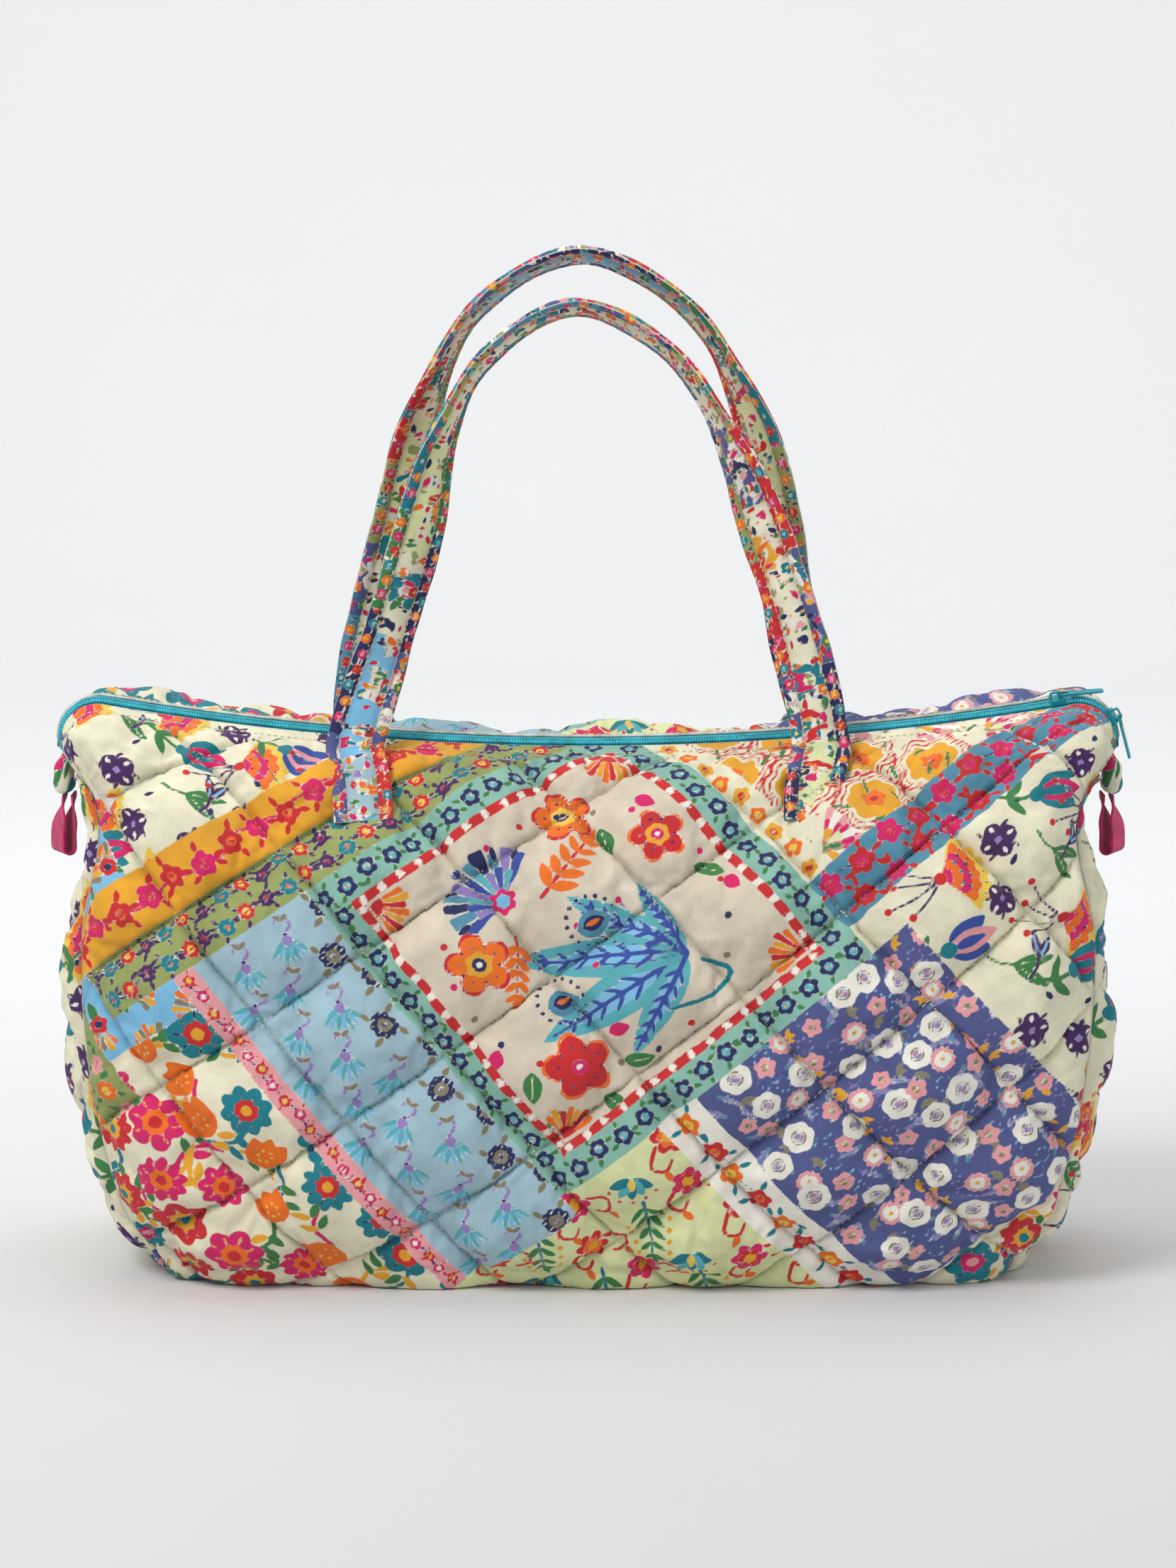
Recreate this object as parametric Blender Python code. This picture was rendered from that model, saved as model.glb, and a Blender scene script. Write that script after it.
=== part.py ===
"""Quilted zip-top knitting bag: padded panels and lining, a two-slider zip, two swinging straps, end loops.

Frame: origin at the centre of the flat base, +X along the zip, -Y towards the front panel, +Z up. Metres.
"""

import math
from functools import partial

import bpy
from mathutils import Matrix, Vector

# Driving dimensions, in metres.
BASE_TOP = 0.0115  # height of the seam that joins the walls to the base
HALF_DEPTH = 0.100
PANEL_THICK = 0.006
LINING_THICK = 0.0008
GAP = 0.0004  # between two pieces that touch
SEAM_GAP = 0.0011  # between the panels' sewn edges

ZIP_LOW = 0.292  # height of the zip line half way along
ZIP_Y = -0.010
ZIP_TILT = math.radians(15)  # the zip's face leans towards the front
SAG_RADIUS = 1.57  # the zip line sags in one long arc
BEND_X = 0.268  # where the zip line starts to drop over the bag's ear
BEND_RADIUS = 0.020
BEND_END = math.radians(82)
ZIP_DROP = 0.009  # the straight stretch after the bend
TAPE_HALF = 0.0078
TAPE_THICK = 0.0008
COIL_SLOT = 0.0006  # half of the slot that the sliders' posts run in
COIL_OUTER = 0.0033
COIL_TOP = 0.0028

STRAP_WIDTH = 0.032
STRAP_THICK = 0.0056
STRAP_LIFT = 0.0074  # the straps' swing axes above the panels
SEWN_THICK = 0.0036  # a strap's end, pressed flat by its stitches

SLIDER_LENGTH = 0.008
PULL_LENGTH = 0.025
LOOP_WIDTH = 0.020
LOOP_LENGTH = 0.034

# Round corners of the bag in plan: a superellipse, with each seam a little way round the corner.
CORNER_POWER = 5.0
SEAM_SHARE = 0.97

# (share of the way up the wall, value)
WIDTH_PROFILE = [(0, 0.236), (0.12, 0.256), (0.35, 0.272), (0.6, 0.277), (0.78, 0.268), (0.9, 0.273),
                 (1, 0.2925)]
FRONT_DEPTH = [(0, 0.86), (0.08, 0.95), (0.25, 1.04), (0.45, 1.05), (0.62, 0.98),
               (0.76, 0.85), (0.88, 0.61), (0.95, 0.41)]
BACK_DEPTH = [(0, 0.86), (0.08, 0.95), (0.25, 1.04), (0.45, 1.05), (0.62, 0.98),
              (0.76, 0.85), (0.88, 0.56), (0.95, 0.27)]
FRONT_RISE = [(0, 0), (0.08, 0.06), (0.25, 0.22), (0.45, 0.42),
              (0.62, 0.60), (0.76, 0.76), (0.88, 0.895), (0.95, 0.96), (1, 1)]
BACK_RISE = [(0, 0), (0.08, 0.06), (0.25, 0.22), (0.45, 0.42),
             (0.62, 0.60), (0.76, 0.77), (0.88, 0.925), (0.95, 0.985), (1, 1)]
GUSSET_PINCH = 0.014  # how far the gusset's middle is drawn in under the ear

GUSSET_TOP = 0.93
WALL_ROWS = [0, 0.04, 0.09, 0.17, 0.27, 0.38, 0.49, 0.59, 0.68, 0.76, 0.83, 0.89, GUSSET_TOP, 0.965, 1.0]
GUSSET_ROWS = [0, 0.04, 0.09, 0.17, 0.27, 0.38, 0.49, 0.59, 0.68, 0.76, 0.83, 0.89, GUSSET_TOP]

# Each strap's centreline above its sewn ends: (x, height above the swing axis, distance from the middle).
STRAP_ANCHOR_X = 0.127
ANCHOR_LOW, ANCHOR_HIGH = 0.835, 0.945  # share of the way up the panel
FRONT_STRAP = [(-0.112, 0.052, 0.029), (-0.094, 0.112, 0.022), (-0.080, 0.166, 0.016), (-0.056, 0.210, 0.013),
               (-0.008, 0.238, 0.012), (0.044, 0.214, 0.013), (0.077, 0.166, 0.016), (0.100, 0.108, 0.022),
               (0.118, 0.052, 0.029)]
BACK_STRAP = [(-0.120, 0.052, 0.029), (-0.104, 0.114, 0.022), (-0.090, 0.172, 0.017), (-0.060, 0.226, 0.011),
              (-0.004, 0.2545, 0.008), (0.054, 0.226, 0.011), (0.088, 0.172, 0.017), (0.104, 0.112, 0.022),
              (0.114, 0.052, 0.029)]

COLOURS = {
    "quilt_print": (0.80, 0.74, 0.60), "strap_print": (0.70, 0.62, 0.42), "lining": (0.72, 0.70, 0.62),
    "zip_tape": (0.05, 0.60, 0.68), "zip_coil": (0.04, 0.55, 0.62), "zip_metal": (0.02, 0.42, 0.46),
    "webbing": (0.72, 0.02, 0.25),
}


# ---------------------------------------------------------------- curves

def smoothstep(low, high, value):
    t = min(1.0, max(0.0, (value - low) / (high - low)))
    return t * t * (3 - 2 * t)


def through(points, t):
    """The value at t of a smooth curve through (t, value) points."""
    i = next((k for k in range(len(points) - 2) if t < points[k + 1][0]), len(points) - 2)
    (t0, p0), (t1, p1) = points[i], points[i + 1]

    def slope(k):
        a, b = points[max(k - 1, 0)], points[min(k + 1, len(points) - 1)]
        return (b[1] - a[1]) / (b[0] - a[0])

    w, h = t1 - t0, (t - t0) / (t1 - t0)
    return ((1 + 2 * h) * (1 - h) ** 2 * p0 + h * (1 - h) ** 2 * w * slope(i)
            + h * h * (3 - 2 * h) * p1 + h * h * (h - 1) * w * slope(i + 1))


# ---------------------------------------------------------------- the zip line

SAG_ANGLE = math.asin(BEND_X / SAG_RADIUS)
BEND_CENTRE = (BEND_X + BEND_RADIUS * math.sin(SAG_ANGLE),
               ZIP_LOW + SAG_RADIUS * (1 - math.cos(SAG_ANGLE)) - BEND_RADIUS * math.cos(SAG_ANGLE))
SAG_LENGTH = SAG_RADIUS * SAG_ANGLE
BEND_LENGTH = BEND_RADIUS * (BEND_END + SAG_ANGLE)
ZIP_HALF_LENGTH = SAG_LENGTH + BEND_LENGTH + ZIP_DROP
X_TIP = BEND_CENTRE[0] + BEND_RADIUS * math.sin(BEND_END) + ZIP_DROP * math.cos(BEND_END)


def zip_line(s):
    """(x, z, slope) of the zip line at s, from -1 at the left ear to 1 at the right one."""
    along, side = abs(s) * ZIP_HALF_LENGTH, math.copysign(1.0, s)
    if along < SAG_LENGTH:
        slope = along / SAG_RADIUS
        x, z = SAG_RADIUS * math.sin(slope), ZIP_LOW + SAG_RADIUS * (1 - math.cos(slope))
    else:
        past = along - SAG_LENGTH
        slope = SAG_ANGLE - min(past, BEND_LENGTH) / BEND_RADIUS
        straight = max(0.0, past - BEND_LENGTH)
        x = BEND_CENTRE[0] - BEND_RADIUS * math.sin(slope) + straight * math.cos(slope)
        z = BEND_CENTRE[1] + BEND_RADIUS * math.cos(slope) + straight * math.sin(slope)
    return side * x, z, side * slope


def on_zip(s, across, out):
    """A point on the zip's section: across it towards the back, and out of its face."""
    x, z, slope = zip_line(s)
    radial = across * math.sin(ZIP_TILT) + out * math.cos(ZIP_TILT)
    y = ZIP_Y + across * math.cos(ZIP_TILT) - out * math.sin(ZIP_TILT)
    return Vector((x - radial * math.sin(slope), y, z + radial * math.cos(slope)))


def s_at(x):
    """The place on the zip line, on its long arc, that is at x."""
    return SAG_RADIUS * math.asin(x / SAG_RADIUS) / ZIP_HALF_LENGTH


# ---------------------------------------------------------------- the bag's skin

def wall_point(side, s, v):
    """A point on the outer skin of the front (side -1) or back (side 1) panel; v runs from base to zip."""
    top = on_zip(s, side * (TAPE_HALF + GAP), PANEL_THICK / 2)
    x_zip, z_zip, _ = zip_line(s)
    drop = ZIP_LOW + SAG_RADIUS - math.sqrt(SAG_RADIUS ** 2 - x_zip ** 2) - z_zip
    top_z = top.z + drop * (1 - smoothstep(0.6, 1.0, v))
    rise = through(FRONT_RISE if side < 0 else BACK_RISE, v)
    depth = through((FRONT_DEPTH if side < 0 else BACK_DEPTH) + [(1, side * top.y / HALF_DEPTH)], v)
    corner = (1 - (SEAM_SHARE * abs(x_zip) / X_TIP) ** CORNER_POWER) ** (1 / CORNER_POWER)
    square = smoothstep(0.8, 1.0, v)
    x = top.x * through(WIDTH_PROFILE, v) / WIDTH_PROFILE[-1][1]
    return Vector((x, side * HALF_DEPTH * depth * (corner + (1 - corner) * square),
                   BASE_TOP + (top_z - BASE_TOP) * rise))


def gusset_point(end, w, v):
    """A point on the outer skin of the left (end -1) or right (end 1) gusset; w is -1 at the front seam."""
    front, back = wall_point(-1, end, v), wall_point(1, end, v)
    mid = front.lerp(back, (w + 1) / 2)
    seam = (1 - SEAM_SHARE ** CORNER_POWER) ** (1 / CORNER_POWER)
    round_out = (1 - (abs(w) * seam) ** CORNER_POWER) ** (1 / CORNER_POWER) / SEAM_SHARE
    pinch = GUSSET_PINCH * smoothstep(0.35, 0.85, v) * (1 - w * w) ** 2
    return Vector((mid.x * round_out - end * pinch, mid.y, mid.z))


def normal_of(skin, p, q, outward):
    """The skin's unit normal at (p, q), on the side that outward points to."""
    d = 1e-4
    n = (skin(p + d, q) - skin(p - d, q)).cross(skin(p, q + d) - skin(p, q - d)).normalized()
    return n if n.dot(outward) > 0 else -n


def raw_wall_normal(side, s, v):
    return normal_of(lambda p, q: wall_point(side, p, q), s, v, Vector((0, side, 0.3)))


def raw_gusset_normal(end, w, v):
    return normal_of(lambda p, q: gusset_point(end, p, q), w, v, Vector((end, 0, 0)))


def wall_normal(side, s, v):
    """A panel's normal, which turns to the zip's own at the top and is shared with the gusset at a seam."""
    n = raw_wall_normal(side, s, min(v, 0.999))
    if abs(s) > 0.999 and v <= GUSSET_TOP:
        n = (n + raw_gusset_normal(math.copysign(1, s), side * 0.99, v)).normalized()
    zip_out = (on_zip(s, 0, 1) - on_zip(s, 0, 0)).normalized()
    return n.lerp(zip_out, smoothstep(0.93, 1.0, v)).normalized()


def gusset_normal(end, w, v):
    """A gusset's normal, shared with a panel at each seam."""
    if abs(w) > 0.999:
        return wall_normal(math.copysign(1, w), end, min(v, GUSSET_TOP))
    return raw_gusset_normal(end, w, v)


def wall_thickness(side, s, v):
    """Full over the panel, thin where the seams meet at an ear and along the zip."""
    ear = smoothstep(0.62, 0.9, abs(s)) * smoothstep(0.62, 0.85, v)
    return PANEL_THICK * (1 - 0.62 * max(ear, smoothstep(0.88, 1.0, v)))


def gusset_thickness(end, w, v):
    return PANEL_THICK * (1 - 0.62 * smoothstep(0.62, 0.85, v))


def grid_of(skin, normal, ps, qs, lift):
    """Rows of points on the skin, lifted along its normal by lift(p, q)."""
    return [[skin(p, q) + lift(p, q) * normal(p, q) for p in ps] for q in qs]


# ---------------------------------------------------------------- meshes

def material(name, roughness=0.9, metallic=0.0):
    made = bpy.data.materials.get(name) or bpy.data.materials.new(name)
    made.use_nodes = True
    shader = made.node_tree.nodes["Principled BSDF"]
    shader.inputs["Base Color"].default_value = (*COLOURS[name], 1)
    shader.inputs["Roughness"].default_value = roughness
    shader.inputs["Metallic"].default_value = metallic
    return made


def add_object(name, points, faces, finish):
    mesh = bpy.data.meshes.new(name)
    mesh.from_pydata([tuple(p) for p in points], [], faces)
    mesh.validate()
    made = bpy.data.objects.new(name, mesh)
    bpy.context.scene.collection.objects.link(made)
    mesh.materials.append(finish)
    mesh.shade_smooth()
    mesh.set_sharp_from_angle(angle=math.radians(40))
    return made


def face_out(made):
    """Turns a closed mesh's faces to point out of it."""
    mesh = made.data
    mesh.calc_loop_triangles()
    points = [v.co for v in mesh.vertices]
    volume = sum(points[t.vertices[0]].dot(points[t.vertices[1]].cross(points[t.vertices[2]]))
                 for t in mesh.loop_triangles)
    if volume < 0:
        mesh.flip_normals()
    return made


def sheet(name, outer, inner, finish):
    """A closed sheet between two grids of points."""
    rows, columns = len(outer), len(outer[0])
    points = [p for grid in (outer, inner) for row in grid for p in row]

    def at(layer, r, c):
        return (layer * rows + r) * columns + c

    faces = []
    for r in range(rows - 1):
        for c in range(columns - 1):
            faces.append((at(0, r, c), at(0, r, c + 1), at(0, r + 1, c + 1), at(0, r + 1, c)))
            faces.append((at(1, r, c), at(1, r + 1, c), at(1, r + 1, c + 1), at(1, r, c + 1)))
    rim = ([(0, c) for c in range(columns)] + [(r, columns - 1) for r in range(1, rows)]
           + [(rows - 1, c) for c in range(columns - 2, -1, -1)] + [(r, 0) for r in range(rows - 2, 0, -1)])
    for (r0, c0), (r1, c1) in zip(rim, rim[1:] + rim[:1]):
        faces.append((at(0, r0, c0), at(1, r0, c0), at(1, r1, c1), at(0, r1, c1)))
    return face_out(add_object(name, points, faces, finish))


def sweep(name, rings, finish):
    """A closed bar through rings that have the same number of points."""
    n = len(rings[0])
    points = [p for ring in rings for p in ring]
    faces = [tuple(range(n)), tuple(range((len(rings) - 1) * n, len(rings) * n))[::-1]]
    for i in range(len(rings) - 1):
        for k in range(n):
            m = (k + 1) % n
            faces.append((i * n + k, (i + 1) * n + k, (i + 1) * n + m, i * n + m))
    return face_out(add_object(name, points, faces, finish))


def join(name, pieces):
    """One solid made of overlapping pieces."""
    base = pieces[0]
    for other in pieces[1:]:
        cut = base.modifiers.new("join", "BOOLEAN")
        cut.operation = "UNION"
        cut.object = other
    graph = bpy.context.evaluated_depsgraph_get()
    mesh = bpy.data.meshes.new_from_object(base.evaluated_get(graph))
    for piece in pieces[1:]:
        bpy.data.objects.remove(piece)
    base.modifiers.clear()
    base.data = mesh
    base.name = name
    return base


# ---------------------------------------------------------------- panels, lining and base

def wall_columns():
    """Places along the zip line: even on the long arc, closer round each ear."""
    half = [SAG_LENGTH * k / 10 for k in range(11)]
    half += [SAG_LENGTH + (ZIP_HALF_LENGTH - SAG_LENGTH) * k / 5 for k in range(1, 6)]
    shares = [a / ZIP_HALF_LENGTH for a in half]
    return [-s for s in reversed(shares[1:])] + shares


def skin_layers(name, lining_name, skin, normal, thickness, ps, qs, lining_qs):
    """A quilted panel and the lining sheet behind it."""
    sheet(name, grid_of(skin, normal, ps, qs, lambda p, q: 0.0),
          grid_of(skin, normal, ps, qs, lambda p, q: -thickness(p, q)), material("quilt_print"))
    sheet(lining_name, grid_of(skin, normal, ps, lining_qs, lambda p, q: -thickness(p, q) - GAP),
          grid_of(skin, normal, ps, lining_qs, lambda p, q: -thickness(p, q) - GAP - LINING_THICK),
          material("lining"))


def inset_gusset(end, w, v):
    """A gusset's point, drawn in by the seam's gap at each side."""
    front, back = wall_point(-1, end, v), wall_point(1, end, v)
    return gusset_point(end, w * (1 - 2 * SEAM_GAP / (back - front).length), v)


def build_walls():
    for side, name in ((-1, "front"), (1, "back")):
        skin_layers(f"{name}_panel", f"lining_{name}", partial(wall_point, side), partial(wall_normal, side),
                    partial(wall_thickness, side), wall_columns(), WALL_ROWS, WALL_ROWS[:-3])
    for end, name in ((-1, "left"), (1, "right")):
        columns = [k / 4 for k in range(-4, 5)]
        skin_layers(f"{name}_gusset", f"lining_{name}", partial(inset_gusset, end),
                    partial(gusset_normal, end), partial(gusset_thickness, end), columns,
                    GUSSET_ROWS, GUSSET_ROWS[:-3])


def base_outline():
    """The walls' lower edge, once round the bag."""
    columns = wall_columns()[::2]
    ws = [k / 3 for k in range(-2, 3)]
    loop = [wall_point(-1, s, 0) for s in columns]
    loop += [gusset_point(1, w, 0) for w in ws]
    loop += [wall_point(1, s, 0) for s in reversed(columns)]
    loop += [gusset_point(-1, w, 0) for w in reversed(ws)]
    return loop


def base_plate(name, section, finish):
    """A dished plate; its section gives the distance in from the outline and the height, underside first."""
    outline = base_outline()
    half_x, half_y = max(p.x for p in outline), max(p.y for p in outline)
    rings = [[Vector((p.x * (1 - inset / half_x), p.y * (1 - inset / half_y), z)) for p in outline]
             for inset, z in section]
    return sweep(name, rings, finish)


def build_base():
    rim = BASE_TOP - GAP
    base_plate("base_panel", [(0.016, 0), (0.007, 0.0014), (0.002, 0.0055), (0, rim), (0.0055, rim),
                              (0.0085, 0.0078), (0.016, PANEL_THICK)], material("quilt_print"))
    low = PANEL_THICK + GAP
    base_plate("lining_base", [(0.0165, low), (0.010, 0.0090), (0.010, 0.0100), (0.0165, low + LINING_THICK)],
               material("lining"))


# ---------------------------------------------------------------- zip

def zip_stations():
    half = [SAG_LENGTH * k / 12 for k in range(13)]
    half += [SAG_LENGTH + (ZIP_HALF_LENGTH - SAG_LENGTH) * k / 10 for k in range(1, 11)]
    shares = [a / ZIP_HALF_LENGTH for a in half]
    return [-s for s in reversed(shares[1:])] + shares


def build_zip():
    for side, name in ((-1, "front"), (1, "back")):
        tape = [(COIL_SLOT, -TAPE_THICK / 2), (TAPE_HALF, -TAPE_THICK / 2),
                (TAPE_HALF, TAPE_THICK / 2), (COIL_SLOT, TAPE_THICK / 2)]
        sweep(f"zip_tape_{name}", [[on_zip(s, side * a, o) for a, o in tape] for s in zip_stations()],
              material("zip_tape"))
        low = TAPE_THICK / 2 + GAP
        coil = [(COIL_SLOT, low), (COIL_OUTER, low), (COIL_OUTER, 0.0019), (0.0025, COIL_TOP),
                (COIL_SLOT, COIL_TOP)]
        ends = [s for s in zip_stations() if abs(s) < 0.99]
        sweep(f"zip_coil_{name}", [[on_zip(s, side * a, o) for a, o in coil] for s in ends],
              material("zip_coil", 0.4))


def zip_frame(s):
    """Places a piece modelled at the origin (x along the zip, y across, z out) at s on the zip."""
    _, _, slope = zip_line(s)
    turn = Matrix.Rotation(-slope, 4, "Y") @ Matrix.Rotation(ZIP_TILT, 4, "X")
    return Matrix.Translation(on_zip(s, 0, 0)) @ turn


def box_bar(name, low, high, finish):
    """A box between two corners."""
    corners = ((low[1], low[2]), (high[1], low[2]), (high[1], high[2]), (low[1], high[2]))
    rings = [[Vector((x, y, z)) for y, z in corners]
             for x in (low[0], high[0])]
    return sweep(name, rings, finish)


BAIL_TOP = 0.0079
BAR_HEIGHT = 0.0062  # the pull's crossbar above the zip's tape
BAR_X = 0.0014  # it has slid to the bail's outer end


def build_slider(name, s):
    """Top and bottom plates joined by a thin post in the coil's slot, with a bail for the pull on top."""
    finish = material("zip_metal", 0.35, 0.6)
    half = SLIDER_LENGTH / 2
    wide, slot, plate = 0.0046, 0.0003, 0.0009
    lip, lip_inner = 0.0013, wide - 0.0007
    top, under = COIL_TOP + 0.0006, TAPE_THICK / 2 + 0.0007
    section = [(-wide, lip), (-lip_inner, lip), (-lip_inner, top), (-slot, top),
               (-slot, -under), (-wide, -under), (-wide, -under - plate), (wide, -under - plate),
               (wide, -under), (slot, -under), (slot, top), (lip_inner, top),
               (lip_inner, lip), (wide, lip), (wide, top + plate), (-wide, top + plate)]
    plates = sweep(name, [[Vector((x, y, z)) for y, z in section] for x in (-half, half)], finish)
    low, shoulder, inside = top + 0.0005, BAIL_TOP - 0.0010, BAIL_TOP - 0.0008
    arch = [(-0.0034, low), (-0.0034, shoulder), (-0.0026, BAIL_TOP), (0.0026, BAIL_TOP), (0.0034, shoulder),
            (0.0034, low), (0.0024, low), (0.0024, inside - 0.0005), (0.0019, inside), (-0.0019, inside),
            (-0.0024, inside - 0.0005), (-0.0024, low)]
    bail = sweep("bail", [[Vector((x, y, z)) for x, z in arch] for y in (-0.0011, 0.0011)], finish)
    slider = join(name, [plates, bail])
    slider.matrix_world = zip_frame(s)
    return slider


def build_pull(name, s, hang):
    """A flat tab below a ring whose crossbar runs through the bail; hang turns it down from the zip."""
    finish = material("zip_metal", 0.35, 0.6)
    half, reach = 0.0006, 0.0068  # half the crossbar's thickness, and the ring's length
    bar = box_bar(name, (-half, -0.0024, -half), (half, 0.0024, half), finish)
    sides = [box_bar("ring_side", (-half, min(y, y * 0.66), -half), (reach, max(y, y * 0.66), half), finish)
             for y in (-0.0024, 0.0024)]
    outline = [(reach - 0.0012, 0.0024), (PULL_LENGTH - 0.0012, 0.0021), (PULL_LENGTH, 0.0012)]
    outline += [(x, -y) for x, y in reversed(outline)]
    tab = sweep("tab", [[Vector((x, y, z)) for x, y in outline] for z in (-half, half)], finish)
    pull = join(name, [bar, *sides, tab])
    hinge = zip_frame(s) @ Matrix.Translation((BAR_X, 0, BAR_HEIGHT))
    pull.matrix_world = hinge @ Matrix.Rotation(hang, 4, "Y")
    return pull


SLIDER_LEFT_S = s_at(0.2600)
SLIDER_RIGHT_S = (SAG_LENGTH + BEND_RADIUS * (math.radians(58) + SAG_ANGLE)) / ZIP_HALF_LENGTH


def build_sliders():
    build_slider("zip_slider_left", SLIDER_LEFT_S)
    build_pull("zip_pull_left", SLIDER_LEFT_S, math.radians(5))
    build_slider("zip_slider_right", SLIDER_RIGHT_S)
    build_pull("zip_pull_right", SLIDER_RIGHT_S, math.radians(17))


# ---------------------------------------------------------------- straps

def strap_section(lift=0.0):
    """A flat band with round edges: (across, through) points."""
    w, t = STRAP_WIDTH / 2, STRAP_THICK / 2
    return [(-w, -t * 0.4), (-w + 0.0025, -t), (w - 0.0025, -t), (w, -t * 0.4), (w, t * 0.4), (w - 0.0025, t),
            (-w + 0.0025, t), (-w, t * 0.4)]


def strap_foot(side, x):
    """(the swing axis's point at a sewn end, the panel's normal there)."""
    s = s_at(x * 1.045)
    v = ANCHOR_HIGH + 0.012
    normal = wall_normal(side, s, v)
    return wall_point(side, s, v) + STRAP_LIFT * normal, normal


def build_strap(side, name, middle, turn_low, turn_high):
    """A strap's free loop, which turns from flat on the panel at its feet to edge-on at its crown."""
    feet = [strap_foot(side, x)[0] for x in (-STRAP_ANCHOR_X, STRAP_ANCHOR_X)]
    foot_z = feet[0].z
    route = [feet[0] + Vector((0.0005, 0, 0.0012))]
    route += [Vector((x, side * y, foot_z + h)) for x, h, y in middle]
    route += [feet[1] + Vector((-0.0005, 0, 0.0012))]
    lengths = [0.0]
    for a, b in zip(route, route[1:]):
        lengths.append(lengths[-1] + (b - a).length)
    shares = [length / lengths[-1] for length in lengths]

    def at(t):
        return Vector([through([(k, p[axis]) for k, p in zip(shares, route)], t) for axis in range(3)])

    steps = 36
    rings = []
    for k in range(steps + 1):
        t = k / steps
        tangent = (at(min(1, t + 0.01)) - at(max(0, t - 0.01))).normalized()
        from_foot = min(t, 1 - t)
        turn = math.radians(turn_high) * smoothstep(0.20, 0.36, from_foot)
        turn += math.radians(turn_low) * smoothstep(0.0, 0.12, from_foot)
        flat = Vector((0, 1, 0)).cross(tangent).normalized()
        across = flat * math.cos(turn) + Vector((0, 1, 0)) * math.sin(turn)
        across = (across - across.dot(tangent) * tangent).normalized()
        through_it = tangent.cross(across)
        rings.append([at(t) + a * across + o * through_it for a, o in strap_section()])
    return sweep(name, rings, material("strap_print"))


def build_anchor(side, end, name):
    """A strap's sewn end, which follows the panel under it."""
    half = STRAP_WIDTH / 2
    ps = [s_at((end * STRAP_ANCHOR_X + half * k / 2) * 1.045) for k in range(-2, 3)]
    qs = [ANCHOR_LOW + (ANCHOR_HIGH - ANCHOR_LOW) * k / 4 for k in range(5)]
    skin, normal = partial(wall_point, side), partial(wall_normal, side)
    layers = [grid_of(skin, normal, ps, qs, lambda p, q, lift=lift: lift)
              for lift in (SEWN_THICK, 0.0006)]
    sheet(name, *layers, material("strap_print"))


def build_straps():
    build_strap(-1, "strap_front", FRONT_STRAP, 30, 45)
    build_strap(1, "strap_back", BACK_STRAP, 30, 45)
    for side, name in ((-1, "front"), (1, "back")):
        for end, end_name in ((-1, "left"), (1, "right")):
            build_anchor(side, end, f"strap_{name}_end_{end_name}")


# ---------------------------------------------------------------- ears

TAB_LOW, TAB_HIGH = 0.265, 0.2810
TAB_THICK = 0.0028
LOOP_X = X_TIP - 0.0042
LOOP_TOP = TAB_LOW - 0.0005


def build_end_tab(end, name):
    """The folded tab that closes an ear below the zip's end."""
    x = X_TIP + 0.0012
    corners = ((0, -1), (TAB_THICK, -0.8), (TAB_THICK, 0.8), (0, 1))
    levels = ((TAB_LOW, 0.0100), (TAB_LOW + 0.004, 0.0108), (TAB_HIGH - 0.003, 0.0104), (TAB_HIGH, 0.0085))
    rings = [[Vector((end * (x + dx), ZIP_Y + y * wide, z)) for dx, y in corners]
             for z, wide in levels]
    sweep(name, rings, material("quilt_print"))


def build_loop(end, name):
    """Webbing folded into a flat loop that hangs from the ear."""
    outer, thick = 0.0040, 0.0012
    steps = [math.pi * k / 6 for k in range(7)]

    def turn(radius):
        low = -LOOP_LENGTH + outer
        bottom = [(-radius * math.cos(a), low - radius * math.sin(a)) for a in steps]
        return [(-radius, 0.0)] + bottom + [(radius, 0.0)]

    path_out, path_in = turn(outer), turn(outer - thick)
    rings = []
    for (x0, z0), (x1, z1) in zip(path_out, path_in):
        rings.append([Vector((x0, -LOOP_WIDTH / 2, z0)), Vector((x0, LOOP_WIDTH / 2, z0)),
                      Vector((x1, LOOP_WIDTH / 2, z1)), Vector((x1, -LOOP_WIDTH / 2, z1))])
    loop = sweep(name, rings, material("webbing"))
    loop.location = (end * LOOP_X, ZIP_Y, LOOP_TOP)
    return loop


def build_ears():
    for end, name in ((-1, "left"), (1, "right")):
        build_end_tab(end, f"end_tab_{name}")
        build_loop(end, f"end_loop_{name}")


def main():
    for old in list(bpy.data.objects):
        bpy.data.objects.remove(old)
    build_walls()
    build_base()
    build_zip()
    build_sliders()
    build_straps()
    build_ears()


main()
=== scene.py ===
"""The looks of a quilted, printed bag: padded panels, straps, zip, loops, their cloth and its print."""
import math

import bpy
import numpy as np
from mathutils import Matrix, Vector, kdtree


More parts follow.
